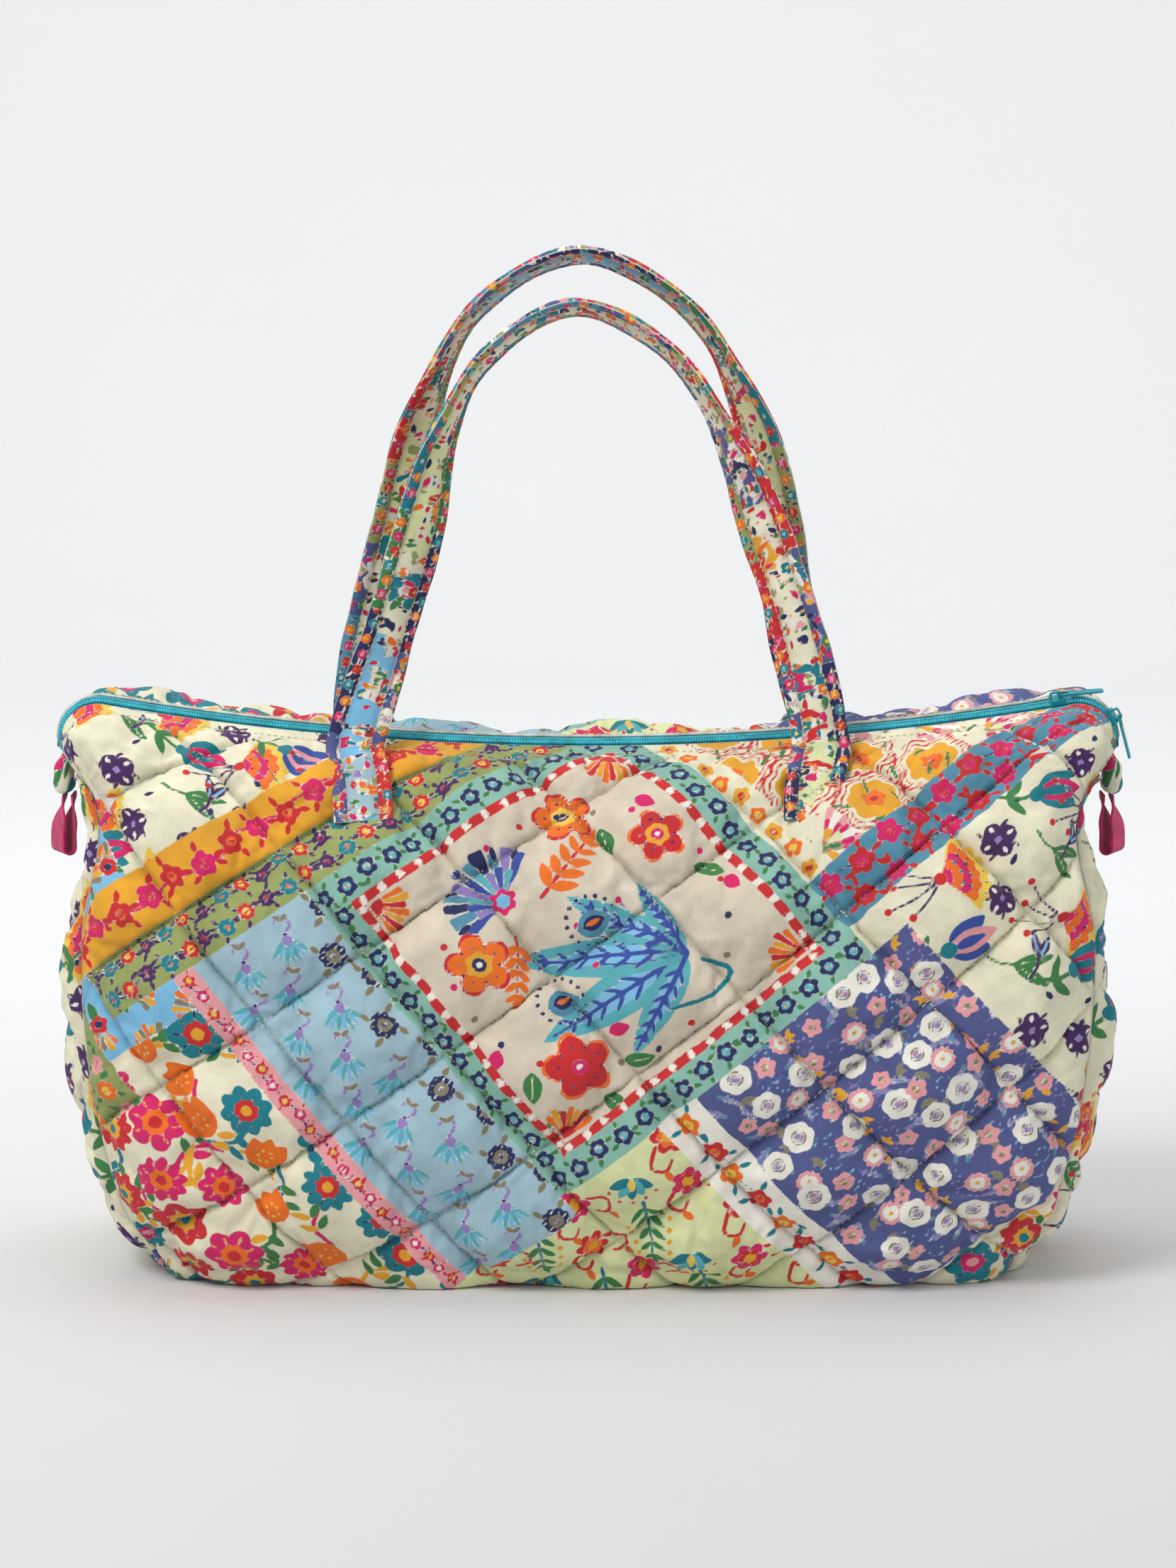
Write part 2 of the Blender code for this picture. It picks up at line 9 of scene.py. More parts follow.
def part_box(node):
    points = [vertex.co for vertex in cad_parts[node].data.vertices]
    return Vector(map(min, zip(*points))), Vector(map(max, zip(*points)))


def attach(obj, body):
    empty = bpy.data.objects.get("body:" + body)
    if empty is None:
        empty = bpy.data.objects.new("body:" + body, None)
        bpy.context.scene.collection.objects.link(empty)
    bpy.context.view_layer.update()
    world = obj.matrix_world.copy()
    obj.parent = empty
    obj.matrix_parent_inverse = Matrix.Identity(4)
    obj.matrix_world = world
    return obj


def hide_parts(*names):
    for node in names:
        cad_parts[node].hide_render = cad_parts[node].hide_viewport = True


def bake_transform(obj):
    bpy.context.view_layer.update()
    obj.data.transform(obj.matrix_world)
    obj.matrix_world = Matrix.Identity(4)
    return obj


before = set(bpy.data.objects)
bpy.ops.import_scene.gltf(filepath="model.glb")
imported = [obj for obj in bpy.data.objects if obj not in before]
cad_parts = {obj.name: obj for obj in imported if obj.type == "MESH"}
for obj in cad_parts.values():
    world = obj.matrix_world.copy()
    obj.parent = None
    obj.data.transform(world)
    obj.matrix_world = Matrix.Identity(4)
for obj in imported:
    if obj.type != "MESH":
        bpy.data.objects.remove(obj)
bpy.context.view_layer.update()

# ---------------------------------------------------------------- sizes shared with the CAD, in metres
BASE_TOP = 0.0115
HALF_DEPTH = 0.100
PANEL_THICK = 0.006
GAP = 0.0004
SEAM_GAP = 0.0011
ZIP_LOW = 0.292
ZIP_Y = -0.010
ZIP_TILT = math.radians(15)
SAG_RADIUS = 1.57
BEND_X = 0.268
BEND_RADIUS = 0.020
BEND_END = math.radians(82)
ZIP_DROP = 0.009
TAPE_HALF = 0.0078
TAPE_THICK = 0.0008
COIL_SLOT = 0.0006
STRAP_WIDTH = 0.032
STRAP_LIFT = 0.0074
CORNER_POWER = 5.0
SEAM_SHARE = 0.97
GUSSET_TOP = 0.93
GUSSET_PINCH = 0.014
WIDTH_PROFILE = [(0, 0.236), (0.12, 0.256), (0.35, 0.272), (0.6, 0.277), (0.78, 0.268), (0.9, 0.273), (1, 0.2925)]
DEPTH = {  # share of the depth, and below it of the height, at each place up the wall
    -1: [(0, 0.86), (0.08, 0.95), (0.25, 1.04), (0.45, 1.05), (0.62, 0.98), (0.76, 0.85), (0.88, 0.61), (0.95, 0.41)],
    1: [(0, 0.86), (0.08, 0.95), (0.25, 1.04), (0.45, 1.05), (0.62, 0.98), (0.76, 0.85), (0.88, 0.56), (0.95, 0.27)],
}
RISE = {
    -1: [(0, 0), (0.08, 0.06), (0.25, 0.22), (0.45, 0.42), (0.62, 0.60), (0.76, 0.76), (0.88, 0.895), (0.95, 0.96),
         (1, 1)],
    1: [(0, 0), (0.08, 0.06), (0.25, 0.22), (0.45, 0.42), (0.62, 0.60), (0.76, 0.77), (0.88, 0.925), (0.95, 0.985),
        (1, 1)],
}
STRAP_ANCHOR_X = 0.127
ANCHOR_LOW, ANCHOR_HIGH = 0.835, 0.945
STRAP_ROUTE = {
    -1: [(-0.112, 0.052, 0.029), (-0.094, 0.112, 0.022), (-0.080, 0.166, 0.016), (-0.056, 0.210, 0.013),
         (-0.008, 0.238, 0.012), (0.044, 0.214, 0.013), (0.077, 0.166, 0.016), (0.100, 0.108, 0.022),
         (0.118, 0.052, 0.029)],
    1: [(-0.120, 0.052, 0.029), (-0.104, 0.114, 0.022), (-0.090, 0.172, 0.017), (-0.060, 0.226, 0.011),
        (-0.004, 0.2545, 0.008), (0.054, 0.226, 0.011), (0.088, 0.172, 0.017), (0.104, 0.112, 0.022),
        (0.114, 0.052, 0.029)],
}
BAG_NAMES = {-1: "front", 1: "back"}

# ---------------------------------------------------------------- the quilt and its print
CELL = 0.070  # side of the quilting's diamonds
PRINT_UP = math.radians(37)  # the print's two directions on the front panel
PRINT_DOWN = math.radians(-49)
PRINT_CENTRE_Z = 0.198
QUILT_A, QUILT_B = -0.030, 0.007  # where one quilting line of each direction runs
PUFF = 0.0125  # height of a cell's dome over its sewn lines
GROOVE_WIDTH = 0.0016  # how far the shade of a sewn line reaches

INKS = {
    "cream": (0.80, 0.76, 0.56), "greige": (0.68, 0.60, 0.47), "lightblue": (0.36, 0.53, 0.61),
    "periwinkle": (0.082, 0.100, 0.265), "lime": (0.72, 0.76, 0.40), "mint": (0.25, 0.49, 0.40),
    "olive": (0.30, 0.35, 0.11), "leaf": (0.045, 0.21, 0.06), "ochre": (0.80, 0.38, 0.025),
    "orange": (0.84, 0.165, 0.012), "red": (0.60, 0.022, 0.025), "magenta": (0.66, 0.014, 0.13),
    "pink": (0.80, 0.34, 0.36), "purple": (0.060, 0.018, 0.100), "navy": (0.016, 0.022, 0.100),
    "blue": (0.035, 0.075, 0.34), "sky": (0.20, 0.50, 0.74), "teal": (0.006, 0.20, 0.25),
    "white": (0.86, 0.83, 0.74), "steel": (0.085, 0.27, 0.38), "yellow": (0.84, 0.56, 0.07),
    "moss": (0.24, 0.21, 0.13), "lilac": (0.30, 0.22, 0.52), "aqua": (0.10, 0.42, 0.47),
}
INK_ROW = {name: k for k, name in enumerate(INKS)}


# ---------------------------------------------------------------- curves

def smoothstep(low, high, value):
    t = np.clip((value - low) / (high - low), 0.0, 1.0)
    return t * t * (3 - 2 * t)


def through(points, t):
    """The values at t of a smooth curve through (t, value) points."""
    ts = np.array([p[0] for p in points], float)
    ps = np.array([p[1] for p in points], float)
    slope = np.empty_like(ps)
    slope[1:-1] = (ps[2:] - ps[:-2]) / (ts[2:] - ts[:-2])
    slope[0] = (ps[1] - ps[0]) / (ts[1] - ts[0])
    slope[-1] = (ps[-1] - ps[-2]) / (ts[-1] - ts[-2])
    i = np.clip(np.searchsorted(ts, t, side="right") - 1, 0, len(ts) - 2)
    w = ts[i + 1] - ts[i]
    h = (t - ts[i]) / w
    return ((1 + 2 * h) * (1 - h) ** 2 * ps[i] + h * (1 - h) ** 2 * w * slope[i]
            + h * h * (3 - 2 * h) * ps[i + 1] + h * h * (h - 1) * w * slope[i + 1])


def unit(v):
    return v / np.maximum(np.linalg.norm(v, axis=-1, keepdims=True), 1e-12)


# ---------------------------------------------------------------- the zip line and the bag's skin

SAG_ANGLE = math.asin(BEND_X / SAG_RADIUS)
BEND_CENTRE = (BEND_X + BEND_RADIUS * math.sin(SAG_ANGLE),
               ZIP_LOW + SAG_RADIUS * (1 - math.cos(SAG_ANGLE)) - BEND_RADIUS * math.cos(SAG_ANGLE))
SAG_LENGTH = SAG_RADIUS * SAG_ANGLE
BEND_LENGTH = BEND_RADIUS * (BEND_END + SAG_ANGLE)
ZIP_HALF_LENGTH = SAG_LENGTH + BEND_LENGTH + ZIP_DROP
X_TIP = BEND_CENTRE[0] + BEND_RADIUS * math.sin(BEND_END) + ZIP_DROP * math.cos(BEND_END)


def zip_line(s):
    """x, z and slope of the zip line at s, from -1 at the left ear to 1 at the right one."""
    s = np.asarray(s, float)
    along = np.abs(s) * ZIP_HALF_LENGTH
    side = np.where(s < 0, -1.0, 1.0)
    sag = along / SAG_RADIUS
    past = along - SAG_LENGTH
    bend = SAG_ANGLE - np.clip(past, 0, BEND_LENGTH) / BEND_RADIUS
    straight = np.maximum(0.0, past - BEND_LENGTH)
    on_arc = past < 0
    x = np.where(on_arc, SAG_RADIUS * np.sin(sag),
                 BEND_CENTRE[0] - BEND_RADIUS * np.sin(bend) + straight * np.cos(bend))
    z = np.where(on_arc, ZIP_LOW + SAG_RADIUS * (1 - np.cos(sag)),
                 BEND_CENTRE[1] + BEND_RADIUS * np.cos(bend) + straight * np.sin(bend))
    return side * x, z, side * np.where(on_arc, sag, bend)


def on_zip(s, across, out):
    """Points on the zip's section: across it towards the back, and out of its face."""
    x, z, slope = zip_line(s)
    radial = across * math.sin(ZIP_TILT) + out * math.cos(ZIP_TILT)
    y = ZIP_Y + across * math.cos(ZIP_TILT) - out * math.sin(ZIP_TILT) + 0 * x
    return np.stack([x - radial * np.sin(slope), y, z + radial * np.cos(slope)], -1)


def s_at(x):
    return SAG_RADIUS * math.asin(x / SAG_RADIUS) / ZIP_HALF_LENGTH


def wall_point(side, s, v):
    """Points on the outer skin of the front (side -1) or back (side 1) panel."""
    top = on_zip(s, side * (TAPE_HALF + GAP), PANEL_THICK / 2)
    x_zip, z_zip, _ = zip_line(s)
    drop = ZIP_LOW + SAG_RADIUS - np.sqrt(SAG_RADIUS ** 2 - x_zip ** 2) - z_zip
    top_z = top[..., 2] + drop * (1 - smoothstep(0.6, 1.0, v))
    rise = through(RISE[side], v)
    last = side * (ZIP_Y + side * (TAPE_HALF + GAP) * math.cos(ZIP_TILT)
                   - PANEL_THICK / 2 * math.sin(ZIP_TILT)) / HALF_DEPTH
    depth = through(DEPTH[side] + [(1, last)], v)
    corner = (1 - np.minimum(1, SEAM_SHARE * np.abs(x_zip) / X_TIP) ** CORNER_POWER) ** (1 / CORNER_POWER)
    square = smoothstep(0.8, 1.0, v)
    x = top[..., 0] * through(WIDTH_PROFILE, v) / WIDTH_PROFILE[-1][1]
    return np.stack([x, side * HALF_DEPTH * depth * (corner + (1 - corner) * square),
                     BASE_TOP + (top_z - BASE_TOP) * rise], -1)


def gusset_point(end, w, v):
    """Points on the outer skin of a side gusset; w is -1 at its front seam, 1 at its back one."""
    front, back = wall_point(-1, end + 0 * v, v), wall_point(1, end + 0 * v, v)
    wide = np.linalg.norm(back - front, axis=-1)
    w = w * (1 - 2 * SEAM_GAP / wide)
    mid = front + (back - front) * ((w + 1) / 2)[..., None]
    seam = (1 - SEAM_SHARE ** CORNER_POWER) ** (1 / CORNER_POWER)
    round_out = (1 - (np.abs(w) * seam) ** CORNER_POWER) ** (1 / CORNER_POWER) / SEAM_SHARE
    pinch = GUSSET_PINCH * smoothstep(0.35, 0.85, v) * (1 - w * w) ** 2
    return np.stack([mid[..., 0] * round_out - end * pinch, mid[..., 1], mid[..., 2]], -1)


UNDER = 0.024  # how far the cloth runs on below the walls, round the bag's bottom edge
ROLL = 0.0108  # radius of that edge
WALL_LENGTH = 0.33  # a wall's height along its cloth
HALF_WIDTH = WIDTH_PROFILE[0][1]


def tucked(points, v):
    """Where v is below 0, the cloth rolls in under the bag."""
    run = np.maximum(-v, 0) * WALL_LENGTH
    angle = np.minimum(run / ROLL, math.pi / 2)
    inset = ROLL * (1 - np.cos(angle)) + np.maximum(run - ROLL * math.pi / 2, 0)
    shrink = np.stack([1 - inset / HALF_WIDTH, 1 - inset / (HALF_DEPTH * DEPTH[1][0][1]), np.ones_like(v)], -1)
    return points * shrink - np.stack([0 * v, 0 * v, ROLL * np.sin(angle)], -1)


# ---------------------------------------------------------------- grids

def grid_normals(points, outward):
    """Unit normals of a grid of points (rows, columns, 3), on the outward side."""
    n = unit(np.cross(np.gradient(points, axis=1), np.gradient(points, axis=0)))
    flip = np.sum(n * outward, -1).mean() < 0
    return -n if flip else n


def line_lengths(line):
    """The distance of each point of a line from its first, along the line."""
    return np.concatenate([[0], np.cumsum(np.linalg.norm(np.diff(line, axis=0), axis=1))])


def grid_lengths(points):
    """Each grid point's distance from the start of its row, and from the foot of its column."""
    steps_u = np.linalg.norm(np.diff(points, axis=1), axis=-1)
    steps_w = np.linalg.norm(np.diff(points, axis=0), axis=-1)
    return (np.concatenate([np.zeros((points.shape[0], 1)), np.cumsum(steps_u, 1)], 1),
            np.concatenate([np.zeros((1, points.shape[1])), np.cumsum(steps_w, 0)], 0))


def cloth_map(points, middle_row):
    """Each grid point's place on the flat cloth: distance along its row from the middle, and up its column."""
    u, w = grid_lengths(points)
    return np.stack([u - u[:, [points.shape[1] // 2]], w - w[[middle_row], :]], -1)


def even_rows(skin, top, count, low=0.0):
    """Heights v from low to top, evenly spaced along the skin's middle."""
    vs = np.linspace(low, top, 400)
    total = line_lengths(skin(np.zeros_like(vs), vs))
    return np.interp(np.linspace(0, total[-1], count), total, vs)


def new_object(name, points, faces, materials):
    mesh = bpy.data.meshes.new(name)
    mesh.from_pydata([tuple(p) for p in points], [], faces)
    made = bpy.data.objects.new(name, mesh)
    bpy.context.scene.collection.objects.link(made)
    for finish in materials:
        mesh.materials.append(finish)
    mesh.shade_smooth()
    return made


def face_out(mesh):
    """Turns a closed mesh's faces to point out of it."""
    mesh.calc_loop_triangles()
    co = np.empty(len(mesh.vertices) * 3)
    mesh.vertices.foreach_get("co", co)
    tri = np.empty(len(mesh.loop_triangles) * 3, int)
    mesh.loop_triangles.foreach_get("vertices", tri)
    p = co.reshape(-1, 3)[tri.reshape(-1, 3)]
    if np.einsum("ij,ij->i", p[:, 0], np.cross(p[:, 1], p[:, 2])).sum() < 0:
        mesh.flip_normals()


def quads(first, rows, columns, wrap=False):
    """Faces of a grid whose points start at index first, row by row."""
    r, c = np.meshgrid(np.arange(rows - 1), np.arange(columns if wrap else columns - 1), indexing="ij")
    a = first + r * columns + c
    b = first + r * columns + (c + 1) % columns
    return np.stack([a, b, b + columns, a + columns], -1).reshape(-1, 4).tolist()


INNER_STEP = 6  # the inside of a panel has one point for this many outside


def padded_shell(name, outer, inner, materials):
    """A closed pad: a fine outer grid, and a coarser inner one taken from every INNER_STEP-th point."""
    rows, columns = outer.shape[:2]
    few = inner[::INNER_STEP, ::INNER_STEP]
    few_rows, few_columns = few.shape[:2]
    start = rows * columns
    points = np.concatenate([outer.reshape(-1, 3), few.reshape(-1, 3)])
    faces = quads(0, rows, columns)
    outside = len(faces)
    faces += [f[::-1] for f in quads(start, few_rows, few_columns)]
    for c in range(few_columns - 1):
        for row, few_row, turn in ((0, 0, 1), (rows - 1, few_rows - 1, -1)):
            fine = [row * columns + c * INNER_STEP + k for k in range(INNER_STEP + 1)]
            coarse = [start + few_row * few_columns + c + 1, start + few_row * few_columns + c]
            faces.append((fine[::-1] + coarse[::-1])[::turn])
    for r in range(few_rows - 1):
        for column, few_column, turn in ((0, 0, -1), (columns - 1, few_columns - 1, 1)):
            fine = [(r * INNER_STEP + k) * columns + column for k in range(INNER_STEP + 1)]
            coarse = [start + (r + 1) * few_columns + few_column, start + r * few_columns + few_column]
            faces.append((fine[::-1] + coarse[::-1])[::turn])
    made = new_object(name, points, faces, materials)
    if len(materials) > 1:
        index = np.ones(len(faces), np.int32)
        index[:outside] = 0
        made.data.polygons.foreach_set("material_index", index)
    face_out(made.data)
    return made


def sweep(name, rings, materials, closed_ends=True):
    """A closed bar through rings (rings, points, 3)."""
    rings = np.asarray(rings)
    count, n = rings.shape[:2]
    faces = quads(0, count, n, wrap=True)
    if closed_ends:
        faces += [list(range(n)), list(range((count - 1) * n, count * n))[::-1]]
    made = new_object(name, rings.reshape(-1, 3), faces, materials)
    face_out(made.data)
    return made


def add_attribute(made, name, kind, values):
    field = made.data.attributes.new(name, kind, "POINT")
    field.data.foreach_set("vector" if kind == "FLOAT_VECTOR" else "value", np.asarray(values, np.float32).ravel())


# ---------------------------------------------------------------- print: ink screens

class Print:
    """Ink screens over cloth points: each ink's signed distance to its own area's edge, positive inside."""

    def __init__(self, places, ground):
        self.places = places
        self.screens = np.full((len(INKS), len(places)), -0.02, np.float32)
        self.screens[INK_ROW[ground]] = 0.02
        self.clip = None

    def near(self, x, y, reach):
        close = np.nonzero((np.abs(self.places[:, 0] - x) < reach) & (np.abs(self.places[:, 1] - y) < reach))[0]
        return close, self.places[close, 0] - x, self.places[close, 1] - y

    def ink(self, name, where, distance):
        if len(where) == 0:
            return
        if self.clip is not None:
            distance = np.minimum(distance, self.clip[where])
        part = self.screens[:, where]
        own = part[INK_ROW[name]].copy()
        part = np.minimum(part, -distance)
        part[INK_ROW[name]] = np.maximum(own, distance)
        self.screens[:, where] = part

    def area(self, name, distance):
        self.ink(name, np.arange(len(self.places)), distance)

    def patch(self, name, a0, a1, b0, b1):
        """Prints a rectangle of plain ground, and keeps what follows inside it."""
        a, b = self.places[:, 0], self.places[:, 1]
        inside = np.minimum(np.minimum(a - a0, a1 - a), np.minimum(b - b0, b1 - b))
        self.clip = None
        self.area(name, inside)
        self.clip = inside

    def store(self, made):
        total = len(made.data.vertices)
        for k in range(0, len(INKS), 3):
            part = np.full((total, 3), -0.02, np.float32)
            rows = self.screens[k:k + 3]
            part[:len(self.places), :len(rows)] = rows.T
            add_attribute(made, f"ink{k // 3}", "FLOAT_VECTOR", part)


def print_onto(made, ab, paint, rng, groove, places=None):
    """Prints a piece's first points, and stores where they are on the cloth and how deep in a seam, as the strength of
    their painted seam shade.
    """
    cloth = Print(ab, "cream")
    paint(cloth, rng)
    cloth.store(made)
    total = len(made.data.vertices)
    flat, deep = np.zeros((total, 3), np.float32), np.zeros(total, np.float32)
    flat[:len(ab), :2] = ab if places is None else places
    # groove and deep carry the painted shade along seams and quilting lines, stored as the attribute groove
    deep[:len(ab)] = groove
    add_attribute(made, "cloth", "FLOAT_VECTOR", flat)
    add_attribute(made, "groove", "FLOAT", deep)


def turned(dx, dy, angle):
    c, s = math.cos(angle), math.sin(angle)
    return c * dx + s * dy, -s * dx + c * dy


def polar(x, y, r, angle):
    """The place at distance r from (x, y), in the direction angle."""
    return x + r * math.cos(angle), y + r * math.sin(angle)


def disc(cloth, name, x, y, r):
    where, dx, dy = cloth.near(x, y, r + 0.006)
    cloth.ink(name, where, r - np.hypot(dx, dy))


def leaf(cloth, name, x, y, length, width, angle, vein=None):
    """A pointed leaf that starts at (x, y)."""
    where, dx, dy = cloth.near(x, y, length + 0.006)
    u, v = turned(dx, dy, angle)
    t = np.clip(u / length, 0, 1)
    half = width / 2 * np.sin(np.pi * t ** 0.85) ** 0.8
    outside = np.maximum(-u, u - length)
    cloth.ink(name, where, np.minimum(half - np.abs(v), -outside))
    if vein:
        cloth.ink(vein, where, np.minimum(0.0006 - np.abs(v), -np.maximum(0.15 * length - u, u - 0.8 * length)))


def petals(cloth, name, x, y, r, count, depth=0.3, angle=0.0, sharp=1.0):
    """A flower's outline with count lobes."""
    where, dx, dy = cloth.near(x, y, r + 0.006)
    swing = np.abs(np.cos(count / 2 * (np.arctan2(dy, dx) - angle))) ** sharp
    cloth.ink(name, where, (r * (1 - depth + depth * swing) - np.hypot(dx, dy)) * 0.85)


def ring(cloth, name, x, y, r, width):
    where, dx, dy = cloth.near(x, y, r + width + 0.006)
    cloth.ink(name, where, width / 2 - np.abs(np.hypot(dx, dy) - r))


def dots(cloth, name, x, y, r, count, size, start=0.0, span=2 * math.pi):
    for k in range(count):
        t = start + span * k / count
        disc(cloth, name, *polar(x, y, r, t), size)


def stroke(cloth, name, points, width, taper=0.0):
    """A brush stroke along a smooth curve through three or more points."""
    pts = np.array(points, float)
    ts = np.linspace(0, 1, len(pts))
    fine = np.linspace(0, 1, 12)
    line = np.stack([through(list(zip(ts, pts[:, k])), fine) for k in range(2)], -1)
    centre = (line.min(0) + line.max(0)) / 2
    reach = (line.max(0) - line.min(0)).max() / 2 + width + 0.006
    where, dx, dy = cloth.near(*centre, reach)
    if len(where) == 0:
        return
    here = np.stack([dx, dy], -1) + centre
    best = np.full(len(where), -1.0)
    for k in range(len(line) - 1):
        step = line[k + 1] - line[k]
        t = np.clip(((here - line[k]) @ step) / max(step @ step, 1e-12), 0, 1)
        half = width / 2 * (1 - taper * (k + t) / len(line))
        best = np.maximum(best, half - np.linalg.norm(here - line[k] - t[:, None] * step, axis=1))
    cloth.ink(name, where, best)


def wedge(cloth, name, x, y, r0, r1, angle, half):
    """A sector between two radii, half wide to each side of angle."""
    where, dx, dy = cloth.near(x, y, r1 + 0.006)
    rho = np.hypot(dx, dy)
    off = np.abs((np.arctan2(dy, dx) - angle + math.pi) % (2 * math.pi) - math.pi)
    cloth.ink(name, where, np.minimum(np.minimum(rho - r0, r1 - rho), (half - off) * rho))


# ---------------------------------------------------------------- print: motifs

def tulip(cloth, x, y, size, angle, cup, flame, stem="leaf", base="teal"):
    """A folk tulip on a curved stem."""
    c, s = math.cos(angle), math.sin(angle)
    foot = (x - 0.9 * size * c + 0.15 * size * s, y - 0.9 * size * s - 0.15 * size * c)
    stroke(cloth, stem, [foot, polar(x, y, -0.5 * size, angle), (x, y)], 0.0022)
    for k, ink in ((-1, cup), (1, cup), (0, flame)):
        leaf(cloth, ink, x, y, size * (0.95 if k else 1.05), size * 0.52, angle + 0.42 * k)
    leaf(cloth, cup, *polar(x, y, 0.1 * size, angle), size * 0.7, size * 0.22, angle)
    disc(cloth, base, x, y, size * 0.17)
    for k in (-1, 1):
        leaf(cloth, stem, *polar(x, y, -0.65 * size, angle), size * 0.6, size * 0.2, angle + 0.9 * k)


def sprig(cloth, x, y, length, angle, stem, blade, pairs=4, width=0.28, berry=None):
    """A stem with paired leaves."""
    stroke(cloth, stem, [(x, y), polar(x, y, 0.5 * length, angle), polar(x, y, length, angle)], 0.0020, 0.5)
    for k in range(pairs):
        t = (k + 0.8) / (pairs + 0.6)
        size = length * 0.34 * (1 - 0.45 * t)
        for side in (-1, 1):
            joint, tip = polar(x, y, t * length, angle), angle + side * 0.85
            leaf(cloth, blade, *joint, size, size * width * 1.5, tip)
            if berry:
                disc(cloth, berry, *polar(*joint, size * 1.2, tip), 0.0014)
    leaf(cloth, blade, *polar(x, y, 0.9 * length, angle), length * 0.24, length * 0.09, angle)


def fan(cloth, x, y, r, angle, inks, ribs=7, spread=1.45):
    """A half-round flower made of ribs."""
    for k in range(ribs):
        t = angle + spread * (2 * (k + 0.5) / ribs - 1)
        wedge(cloth, inks[k % len(inks)], x, y, r * 0.3, r * (0.92 + 0.1 * (k % 2)), t, 0.8 * spread / ribs)
    wedge(cloth, inks[-1], x, y, 0.0, r * 0.34, angle, spread)


def shell(cloth, x, y, r, angle, spread=1.05, lobes=7):
    """A fan-shaped flower in scalloped tiers, each with its row of small marks."""
    where, dx, dy = cloth.near(x, y, r * 1.1 + 0.006)
    rho = np.hypot(dx, dy)
    off = (np.arctan2(dy, dx) - angle + math.pi) % (2 * math.pi) - math.pi
    for k, ink in enumerate(("yellow", "orange", "magenta", "orange", "magenta")):
        reach = r * (1 - 0.19 * k)
        edge = reach * (0.90 + 0.10 * np.abs(np.sin((lobes - k) * off / spread * math.pi / 2)))
        cloth.ink(ink, where, np.minimum(edge - rho, (spread * (1 - 0.06 * k) - np.abs(off)) * rho))
        marks = ("teal", "red", "purple")[k % 3]
        for m in range(lobes - k - 1):
            t = angle + spread * 0.8 * (2 * (m + 0.5) / (lobes - k - 1) - 1)
            leaf(cloth, marks, *polar(x, y, reach * 0.84, t), r * 0.11, r * 0.06, t)
    disc(cloth, "red", x, y, r * 0.12)


def four_lobed(cloth, x, y, r, angle):
    """A dark flower of four double lobes, with pale drops in them."""
    for k in range(4):
        t = angle + math.pi / 2 * k + math.pi / 4
        disc(cloth, "purple", *polar(x, y, 0.58 * r, t), 0.46 * r)
    disc(cloth, "purple", x, y, 0.45 * r)
    for k in range(4):
        t = angle + math.pi / 2 * k + math.pi / 4
        leaf(cloth, "white", *polar(x, y, 0.48 * r, t), 0.46 * r, 0.22 * r, t)
        curl = ((0.5, 0.78), (0.85, 0.78), (1.15, 0.95))
        stroke(cloth, "purple", [polar(x, y, far * r, t + turn) for far, turn in curl], 0.0014)
    petals(cloth, "lilac", x, y, 0.22 * r, 4, 0.5, angle)


def berries(cloth, x, y, reach, angle, stem="purple", fruit="red", count=4):
    """A spray of thin stems that end in berries."""
    for k in range(count):
        t = angle + 0.42 * (k - (count - 1) / 2)
        far = reach * (0.78 + 0.22 * (k % 2))
        stroke(cloth, stem, [(x, y), polar(x, y, 0.5 * far, t - 0.12), polar(x, y, far, t)], 0.0011)
        disc(cloth, fruit, *polar(x, y, far, t), 0.0019)


def leaf_pair(cloth, x, y, size, angle, ink="leaf", vein="lime"):
    """Two long curved leaves on one short stem."""
    stroke(cloth, ink, [(x, y), polar(x, y, -0.35 * size, angle), polar(x, y, -0.7 * size, angle + 0.2)], 0.0015)
    for side in (-1, 1):
        leaf(cloth, ink, x, y, size, size * 0.30, angle + side * 0.38, vein)


def plume(cloth, x, y, size, angle):
    """A feathery tail over a small curled body."""
    for k in range(7):
        t = angle + (k - 3) * 0.27
        leaf(cloth, "sky" if k % 2 else "aqua", x, y, size * (1 - 0.04 * abs(k - 3)), size * 0.17, t)
    body = polar(x, y, -0.1 * size, angle)
    leaf(cloth, "lilac", *body, size * 0.42, size * 0.34, angle)
    tail = ((-0.12, 0.0), (-0.50, 0.5), (-0.72, -0.1), (-0.52, -0.5))
    stroke(cloth, "lilac", [polar(x, y, back * size, angle + turn) for back, turn in tail], 0.0016, 0.3)
    disc(cloth, "navy", *body, size * 0.07)
    for k in (-1, 1):
        leaf(cloth, "moss", *polar(x, y, -0.55 * size, angle), size * 0.32, size * 0.15, angle + math.pi + k * 0.9)


def rosette(cloth, x, y, r):
    """A dark round flower with a grey ribbed heart."""
    petals(cloth, "navy", x, y, r, 9, 0.18)
    dots(cloth, "white", x, y, 0.72 * r, 9, r * 0.07)
    petals(cloth, "moss", x, y, r * 0.52, 12, 0.2)
    disc(cloth, "navy", x, y, r * 0.22)
    disc(cloth, "lilac", x, y, r * 0.11)


def places_in(cloth, rect, step, rng, jitter=0.28):
    """A loose staggered grid of places in the part of a rectangle that the cloth reaches."""
    low, high = cloth.places.min(0) - 0.02, cloth.places.max(0) + 0.02
    a0, a1 = [min(max(edge, low[0]), high[0]) for edge in rect[:2]]
    b0, b1 = [min(max(edge, low[1]), high[1]) for edge in rect[2:]]
    row = 0
    b = b0 + step * 0.45
    while b < b1 + step * 0.3:
        a = a0 + step * (0.45 if row % 2 else 0.95)
        while a < a1 + step * 0.3:
            yield (a + step * jitter * rng.uniform(-1, 1), b + step * jitter * rng.uniform(-1, 1),
                   rng.uniform(0, 6.283))
            a += step
        b += step * 0.87
        row += 1


# ---------------------------------------------------------------- print: patches

